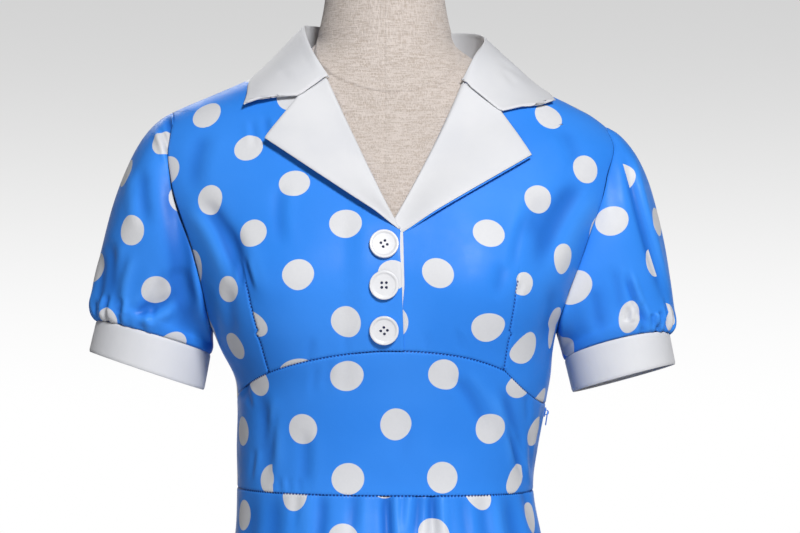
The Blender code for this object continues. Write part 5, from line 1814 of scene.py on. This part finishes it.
def sew_dress(finishes):
    """Every satin and white piece, by name."""
    made = {}
    print_cloth, stitched, back_of_it, white = finishes
    satin_ripple, trim_ripple = RIPPLE_DEPTH["satin"], RIPPLE_DEPTH["trim"]
    ring = (False, False, True, True)
    for side in ("right", "left"):
        first, last = (steps(wide, SATIN_CELL) for wide in FRONT_WIDE)
        s = np.concatenate((first * DART_SHARE, DART_SHARE + last[1:] * (1 - DART_SHARE)))
        column = len(first) - 1
        if side == "right":
            s = (1 - s)[::-1]
            column = len(s) - 1 - column
        point = dart_rows(side)[0]
        t = steps(FRONT_LONG, SATIN_CELL)
        slit = (column, int(np.abs(t - point).argmin()))
        opening, beside, seam = FOLD_DIP, SLEEVE_DIP, SEAM_DIP
        dips = (opening, beside, seam, seam) if side == "left" else (beside, opening, seam, seam)
        name = f"bodice_front_{side}"
        made[name] = sew(
            name, bodice_front(side), s, t, stitched, SATIN, dips=dips, slit=slit,
            stitched="c" + ("b" if side == "left" else "a"), ripple=satin_ripple,
            grain_s=GRAIN_AT[side], reverse=back_of_it,
        )
        name = f"sleeve_{side}"
        made[name] = sew(
            name, sleeve(side), *grid("sleeve", SLEEVE_CELL, ends=ring), print_cloth, SATIN,
            dips=(0, 0, SEAM_DIP, SLEEVE_DIP), closed=True, ripple=satin_ripple, reverse=back_of_it,
        )
        name = f"cuff_{side}"
        made[name] = sew(
            name, cuff(side), *grid("cuff", TRIM_CELL, ends=ring), white, TRIM,
            dips=(0, 0, FOLD_DIP, FOLD_DIP), closed=True, ripple=trim_ripple,
        )
        name = f"lapel_{side}"
        over, t = grid("lapel", TRIM_CELL, ends=(False, True, False, True))
        s = np.concatenate((np.linspace(0, ROLL_AT, ROLL_CELLS)[:-1], ROLL_AT + over * (1 - ROLL_AT)))
        s = (1 - s)[::-1] if side == "right" else s
        dips = (FOLD_DIP, 0, 0, FOLD_DIP) if side == "right" else (0, FOLD_DIP, 0, FOLD_DIP)
        made[name] = sew(
            name, lapel(side), s, t, white, TRIM, dips=dips, ripple=trim_ripple,
        )
    s, t = grid("lapel_left_under", TRIM_CELL, ends=(True, True, False, True))
    made["lapel_left_under"] = sew(
        "lapel_left_under", lapel("left", UNDER_LOW, UNDER_SHOWS), UNDER_FROM + UNDER_SHARE * s, t,
        print_cloth, SATIN, reverse=back_of_it,
    )
    made["bodice_back"] = sew(
        "bodice_back", bodice_back(), *grid("bodice_back", BACK_CELL), print_cloth, SATIN,
        dips=(SEAM_DIP,) * 4, ripple=satin_ripple, reverse=back_of_it,
    )
    for behind, end in ((False, "front"), (True, "back")):
        made[f"midriff_{end}"] = sew(
            f"midriff_{end}", midriff(behind), *grid("midriff", SATIN_CELL), stitched, SATIN,
            dips=(SEAM_DIP,) * 4, stitched="cd", ripple=satin_ripple, reverse=back_of_it,
        )
        made[f"skirt_{end}"] = sew(
            f"skirt_{end}", skirt(behind), *grid("skirt", SKIRT_CELL, SKIRT_ROW), stitched, SATIN,
            dips=(SEAM_DIP, SEAM_DIP, FOLD_DIP, SEAM_DIP), stitched="d",
            ripple=satin_ripple, reverse=back_of_it,
        )
    made["collar"] = sew(
        "collar", collar, *grid("collar", TRIM_CELL), white, TRIM,
        dips=(FOLD_DIP, FOLD_DIP, 0, FOLD_DIP), ripple=trim_ripple,
    )
    made["facing_edge"] = sew(
        "facing_edge", facing_edge, *grid("facing_edge", *FACING_CELLS, ends=(False, True, True, True)),
        white, FACING_WALL, dips=(0, FACING_DIP, 0, 0),
    )
    return made


# ---------------------------------------------------------------- hard pieces


def named(name, finish):
    """Names the piece just added and gives it its finish."""
    piece = bpy.context.object
    piece.name = name
    piece.data.name = name
    piece.data.materials.append(finish)
    return piece


def pick_faces(piece, wanted):
    """In edit mode, selects the faces whose middle and normal are wanted."""
    bpy.ops.object.mode_set(mode="OBJECT")
    for face in piece.data.polygons:
        face.select = wanted(face.center, face.normal)
    bpy.ops.object.mode_set(mode="EDIT")


def start_edit(piece):
    pick(piece)
    bpy.ops.object.mode_set(mode="EDIT")
    bpy.ops.mesh.select_mode(type="FACE")
    bpy.ops.mesh.select_all(action="DESELECT")


def end_edit():
    bpy.ops.object.mode_set(mode="OBJECT")


def rounded(piece, width, segments=3, angle=35):
    """Rounds the sharp edges and shades the rest smooth."""
    edge = piece.modifiers.new("Edge", "BEVEL")
    edge.width = width
    edge.segments = segments
    edge.limit_method = "ANGLE"
    edge.angle_limit = math.radians(angle)
    apply_modifiers(piece)


def put(piece, where):
    """Turns and moves a piece to its place, and leaves its object at the origin."""
    pick(piece)
    piece.matrix_world = where
    bpy.ops.object.transform_apply(location=True, rotation=True, scale=True)
    bpy.ops.object.shade_smooth_by_angle(angle=math.radians(40))


def cylinder(name, finish, radius, low, high, sides, x=0.0, y=0.0):
    """A straight cylinder about Z."""
    nothing_picked()
    bpy.ops.mesh.primitive_cylinder_add(
        vertices=sides, radius=radius, depth=high - low, location=(x, y, (low + high) / 2)
    )
    piece = named(name, finish)
    bpy.ops.object.transform_apply(location=True)
    return piece


def block(name, finish, size, middle):
    """A plain block."""
    nothing_picked()
    bpy.ops.mesh.primitive_cube_add(size=1.0)
    piece = named(name, finish)
    piece.scale = size
    piece.location = middle
    bpy.ops.object.transform_apply(location=True, rotation=True, scale=True)
    return piece


def joined(first, others):
    """Joins pieces into the first."""
    nothing_picked()
    for piece in others:
        piece.select_set(True)
    first.select_set(True)
    bpy.context.view_layer.objects.active = first
    bpy.ops.object.join()
    return first


def holes_at():
    turns = np.radians((45, 135, 225, 315))
    return [(HOLE_OUT * math.cos(turn), HOLE_OUT * math.sin(turn)) for turn in turns]


def button(name, shell):
    """A round button with a raised rim, a dish and four holes, facing up."""
    piece = cylinder(name, shell, BUTTON_RADIUS, 0.0, BUTTON_THICK, 72)
    start_edit(piece)
    pick_faces(piece, lambda middle, normal: normal.z > 0.9)
    bpy.ops.mesh.inset(thickness=BUTTON_RIM)
    bpy.ops.mesh.inset(thickness=BUTTON_SLOPE)
    bpy.ops.transform.translate(value=(0, 0, -BUTTON_DISH))
    pick_faces(piece, lambda middle, normal: normal.z < -0.9)
    bpy.ops.mesh.inset(thickness=BUTTON_RIM)
    bpy.ops.transform.resize(value=(0.9, 0.9, 1.0))
    end_edit()
    rounded(piece, BUTTON_EDGE, 4, 20)
    drills = [
        cylinder(f"drill_{number}", shell, HOLE_RADIUS, -BUTTON_THICK, 2 * BUTTON_THICK, 20, x, y)
        for number, (x, y) in enumerate(holes_at())
    ]
    drill = joined(drills[0], drills[1:])
    cut_by(piece, drill)
    return piece


def button_thread(name, thread):
    """The thread in a button's four holes, down to the cloth."""
    top = BUTTON_THICK - BUTTON_DISH - THREAD_LOW
    strands = [
        cylinder(f"{name}_{number}", thread, HOLE_RADIUS - THREAD_FREE, -BUTTON_SEAT / 2, top, 16, x, y)
        for number, (x, y) in enumerate(holes_at())
    ]
    piece = joined(strands[0], strands[1:])
    piece.name = piece.data.name = name
    rounded(piece, THREAD_EDGE, 2)
    return piece


def button_place(z, turn):
    """Where a button's back is, which way it faces, and how it is turned."""
    x = np.zeros(1)
    lift = lap_lift("right", x, np.array([z])) + BUTTON_SEAT
    near, far = (Vector(at_front(x, np.array([z]), lift + more)[0]) for more in (0.0, 0.01))
    spin = Matrix.Rotation(math.radians(turn), 4, "Z")
    return Matrix.Translation(near) @ (far - near).to_track_quat("Z", "Y").to_matrix().to_4x4() @ spin


def sew_on_buttons():
    shell, thread = button_shell(), navy_thread()
    for number, (z, turn) in enumerate(zip(BUTTON_Z, BUTTON_TURN), 1):
        where = button_place(z, turn)
        shown = button(f"button_{number}_shell", shell), button_thread(f"button_{number}_thread", thread)
        for piece in shown:
            put(piece, where)
            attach(piece, DRESS_BODY)
        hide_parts(f"button_{number}")


def zip_seat():
    """Where the slider lies on the side seam: X away from the cloth, Z up the seam."""
    seam, level = np.full(1, math.pi / 2), np.full(1, ZIP_Z)
    near, far = (Vector(on_figure(DRESS, seam, level, out)[0]) for out in (ZIP_GAP, 0.01))
    out = (far - near).normalized()
    return Matrix.Translation(near) @ Matrix.Rotation(math.atan2(-out.z, out.x), 4, "Y")


def zip_slider(metal):
    """The slider: a rounded block, narrower below, with the wire loop that carries the pull."""
    size = (SLIDER_THICK, SLIDER_WIDE, SLIDER_TALL)
    piece = block("zip_slider_body", metal, size, (SLIDER_THICK / 2, 0, 0))
    start_edit(piece)
    pick_faces(piece, lambda middle, normal: normal.z < -0.9)
    bpy.ops.transform.resize(value=(1.0, SLIDER_FOOT, 1.0))
    pick_faces(piece, lambda middle, normal: normal.x > 0.9)
    bpy.ops.mesh.inset(thickness=SLIDER_PANEL)
    bpy.ops.transform.translate(value=(-SLIDER_SUNK, 0, 0))
    end_edit()
    rounded(piece, SLIDER_EDGE, 3, 25)
    nothing_picked()
    bpy.ops.mesh.primitive_torus_add(
        major_radius=LOOP_RADIUS, minor_radius=LOOP_WIRE, major_segments=32, minor_segments=12,
        location=(SLIDER_THICK + ZIP_GAP, 0, 0), rotation=(math.pi / 2, 0, 0),
    )
    loop = named("zip_loop", metal)
    bpy.ops.object.transform_apply(location=True, rotation=True)
    cut_by(piece, loop, "UNION")
    put(piece, zip_seat())
    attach(piece, DRESS_BODY)
    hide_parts("zip_slider")


def zip_tab(metal):
    """The pull: a slim tab with a slot at its top for the loop, leaning in towards the cloth."""
    size = (PULL_THICK, PULL_WIDE, PULL_LONG)
    piece = block("zip_pull_tab", metal, size, (0, 0, PULL_TOP - PULL_LONG / 2))
    start_edit(piece)
    pick_faces(piece, lambda middle, normal: normal.z > 0.9)
    bpy.ops.transform.resize(value=(1.0, PULL_HEAD, 1.0))
    end_edit()
    eye_low = PULL_TOP - PULL_ABOVE_EYE - PULL_EYE_LONG
    size = (4 * PULL_THICK, PULL_EYE_WIDE, PULL_EYE_LONG)
    eye = block("zip_pull_eye", metal, size, (0, 0, eye_low + PULL_EYE_LONG / 2))
    cut_by(piece, eye)
    rounded(piece, PULL_EDGE, 2, 30)
    swing = next(joint for joint in frame["joints"] if joint["name"] == "zip_pull_swing")
    put(piece, Matrix.Translation(Vector(swing["pos_m"])) @ Matrix.Rotation(PULL_LEAN, 4, "Y"))
    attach(piece, PULL_BODY)
    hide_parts("zip_pull")


def stand(steel):
    """The round base plate with its low crown, the socket and the pole."""
    low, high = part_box("form_base")
    base = cylinder("form_base_plate", steel, high[0], low[2], high[2], STAND_SIDES)
    start_edit(base)
    pick_faces(base, lambda middle, normal: normal.z > 0.9)
    bpy.ops.mesh.inset(thickness=BASE_LIP)
    bpy.ops.transform.translate(value=(0, 0, -BASE_CROWN / 2))
    bpy.ops.mesh.inset(thickness=high[0] - BASE_FLAT)
    bpy.ops.transform.translate(value=(0, 0, BASE_CROWN / 2))
    end_edit()
    rounded(base, BASE_EDGE, 4, 20)
    low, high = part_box("form_socket")
    foot_top = low[2] + SOCKET_FOOT
    socket = cylinder("form_socket_collar", steel, high[0], low[2], foot_top, STAND_SIDES)
    start_edit(socket)
    pick_faces(socket, lambda middle, normal: normal.z > 0.9)
    bpy.ops.mesh.inset(thickness=SOCKET_STEP)
    bpy.ops.transform.translate(value=(0, 0, SOCKET_SLOPE))
    neck = high[2] - low[2] - SOCKET_FOOT - SOCKET_SLOPE
    bpy.ops.mesh.extrude_region_move(TRANSFORM_OT_translate={"value": (0, 0, neck)})
    end_edit()
    rounded(socket, STAND_EDGE, 4, 25)
    low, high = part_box("form_pole")
    pole = cylinder("form_pole_tube", steel, high[0], low[2], high[2], POLE_SIDES)
    bore = cylinder("socket_bore", steel, high[0] + BORE_GAP, 0.0, BORE_TOP, POLE_SIDES)
    cut_by(socket, bore)
    for piece, node_name in ((base, "form_base"), (socket, "form_socket"), (pole, "form_pole")):
        put(piece, Matrix.Identity(4))
        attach(piece, DRESS_BODY)
        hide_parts(node_name)


# ---------------------------------------------------------------- form


def cover_turns():
    """The cover's columns, in radians from the front, close together at its four long seams."""
    near = COVER_LINES
    far = np.linspace(near[-1], math.pi / 2 - near[-1], COVER_SIDES // 4 - 7)[1:-1]
    quarter = np.concatenate((near, far, math.pi / 2 - near[:0:-1]))
    return np.concatenate([quarter + corner * math.pi / 2 for corner in range(4)])


def cover_point(turn, ring):
    """The cover's point on a column and a ring, from the middle of its foot to that of its top."""
    seam = smooth(NECK_SEAM, (np.degrees(turn) + 180) % 360 - 180)[..., 0]
    foot, top = FORM[0, 0], FORM[-1, 0]
    below, body, band, neck, _ = COVER_RINGS
    knots = np.cumsum((0, body, band, neck))
    at = np.clip(ring - below, 0, knots[-1])
    levels = (foot, seam - SEAM_BAND, seam + SEAM_BAND, top)
    z = levels[0] * np.ones_like(turn)
    for first, second, start, end in zip(levels, levels[1:], knots, knots[1:]):
        z = np.where(at > start, first + (second - first) * np.clip((at - start) / (end - start), 0, 1), z)
    away = z - seam
    ridge = COVER_RIDGE * np.exp(-(((away - COVER_RIDGE_UP) / COVER_RIDGE_WIDE) ** 2))
    out = -COVER_DIP * np.exp(-((away / COVER_DIP_WIDE) ** 2)) + ridge
    quarter = (turn + math.pi / 4) % (math.pi / 2) - math.pi / 4
    out = out - LONG_SEAM_DIP * np.exp(-((quarter / LONG_SEAM_WIDE) ** 2))
    near_top = 1 - (top - z) / COVER_TOP_ROUND
    sunk = COVER_TOP_ROUND * (1 - np.sqrt(np.clip(1 - near_top**2, 0, 1)))
    out = out - sunk * (z > top - COVER_TOP_ROUND)
    point = on_figure(FORM, turn, z, out)
    share_low = np.clip(ring / below, 0, 1)
    share_high = np.clip((sum(COVER_RINGS) - ring) / COVER_RINGS[-1], 0, 1)
    inwards = (share_low * share_high)[..., None]
    middle = np.array((0.0, 0.0, 1.0)) * point + np.array((0.0, COVER_MIDDLE_Y, 0.0))
    return middle + (point - middle) * inwards


def cover_form(finish):
    """The form under its linen cover, closed above and below, with its seams."""
    rings = sum(COVER_RINGS)
    turns = cover_turns()
    nothing_picked()
    bpy.ops.mesh.primitive_uv_sphere_add(segments=len(turns), ring_count=rings, radius=1.0)
    piece = named("form_cover", finish)
    ball = np.array([vert.co[:] for vert in piece.data.vertices])
    ring = rings - np.rint(np.arccos(np.clip(ball[:, 2], -1, 1)) / math.pi * rings)
    # The sphere's columns are counted from +X, and the cover's from the front
    column = np.rint((np.arctan2(ball[:, 1], ball[:, 0]) + math.pi / 2) / (2 * math.pi) * len(turns))
    places = cover_point(turns[column.astype(int) % len(turns)], ring)
    piece.data.vertices.foreach_set("co", places.astype(np.float32).ravel())
    piece.data.update()
    piece.data.shade_smooth()
    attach(piece, DRESS_BODY)
    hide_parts("form_torso")


# ---------------------------------------------------------------- floor, light and camera

LIGHTS_AIM = (0.0, 0.0, 1.22)
LIGHTS = (
    # name, place, size, power
    ("key_light", (1.45, -4.75, 4.15), 1.1, 380),
    ("fill_light", (-1.6, -3.0, 1.5), 1.8, 9),
    ("back_light", (-0.9, 2.6, 2.9), 1.4, 24),
)
ROOM_BEHIND = 0.22  # brightness of the room behind the camera, as a share of what it sees
# The room is pale at the figure's feet, shaded above the camera's level and darker overhead. Each
# change is a soft step between two heights, given as a direction's z.
ROOM_PALE, ROOM_SHADED, ROOM_OVERHEAD = 1.0, 0.65, 0.5
SHADE_HEIGHTS, OVERHEAD_HEIGHTS = (-0.05, 0.10), (0.10, 0.30)
CAMERA_X, CAMERA_AWAY, CAMERA_Z = 0.013, 2.6, 1.23
VIEW_WIDE = 0.688  # what the picture's width takes in at the figure's axis
FLOOR_RADIUS = 7.0
SENSOR_WIDE = 36.0


def lay_floor():
    """A plain pale round floor."""
    bpy.ops.mesh.primitive_circle_add(vertices=128, radius=FLOOR_RADIUS, fill_type="NGON")
    floor = bpy.context.object
    floor.name = "studio_floor"
    floor.data.materials.append(pale_floor())


def add_light(name, place, size, power):
    """A soft square studio light."""
    lamp = bpy.data.lights.new(name, "AREA")
    lamp.shape = "SQUARE"
    lamp.size = size
    lamp.energy = power
    made = bpy.data.objects.new(name, lamp)
    bpy.context.scene.collection.objects.link(made)
    made.location = place
    made.rotation_euler = (Vector(LIGHTS_AIM) - Vector(place)).to_track_quat("-Z", "Y").to_euler()


def light_studio():
    """Soft lights before the figure, and a pale room that darkens overhead."""
    for light in LIGHTS:
        add_light(*light)
    world = bpy.data.worlds.new("pale_room")
    bpy.context.scene.world = world
    world.use_nodes = True
    tree = world.node_tree
    direction = node(tree, "TexCoord").outputs["Generated"]
    parts = node(tree, "SeparateXYZ", None, {0: direction}).outputs
    shaded = stepped(tree, parts[2], *SHADE_HEIGHTS, ROOM_PALE, ROOM_SHADED)
    overhead = stepped(tree, parts[2], *OVERHEAD_HEIGHTS, 1.0, ROOM_OVERHEAD)
    ahead = stepped(tree, parts[1], 0.6, 0.93, ROOM_BEHIND, 1.0)
    background = tree.nodes["Background"]
    background.inputs[0].default_value = (1.0, 1.0, 1.0, 1.0)
    tree.links.new(times(tree, times(tree, shaded, overhead), ahead), background.inputs[1])


def place_camera():
    """Level with the chest, far off, so that upright lines stay upright."""
    lens = bpy.data.cameras.new("camera")
    lens.sensor_width = SENSOR_WIDE
    lens.lens = SENSOR_WIDE * CAMERA_AWAY / VIEW_WIDE
    lens.clip_end = 60.0
    camera = bpy.data.objects.new("camera", lens)
    bpy.context.scene.collection.objects.link(camera)
    camera.location = (CAMERA_X, -CAMERA_AWAY, CAMERA_Z)
    camera.rotation_euler = (math.pi / 2, 0.0, 0.0)
    bpy.context.scene.camera = camera
    bpy.context.scene.view_settings.view_transform = "Standard"


# ---------------------------------------------------------------- make it

place_camera()
light_studio()
lay_floor()
finishes = satin("dotted_satin", False), satin("stitched_satin", True), satin_reverse(), white_trim()
pieces = sew_dress(finishes)
for node_name, cloth in pieces.items():
    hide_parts(node_name.removesuffix("_under"))
cover_form(linen())
sew_on_buttons()
metal = enamel()
zip_slider(metal)
zip_tab(metal)
stand(brushed_steel())
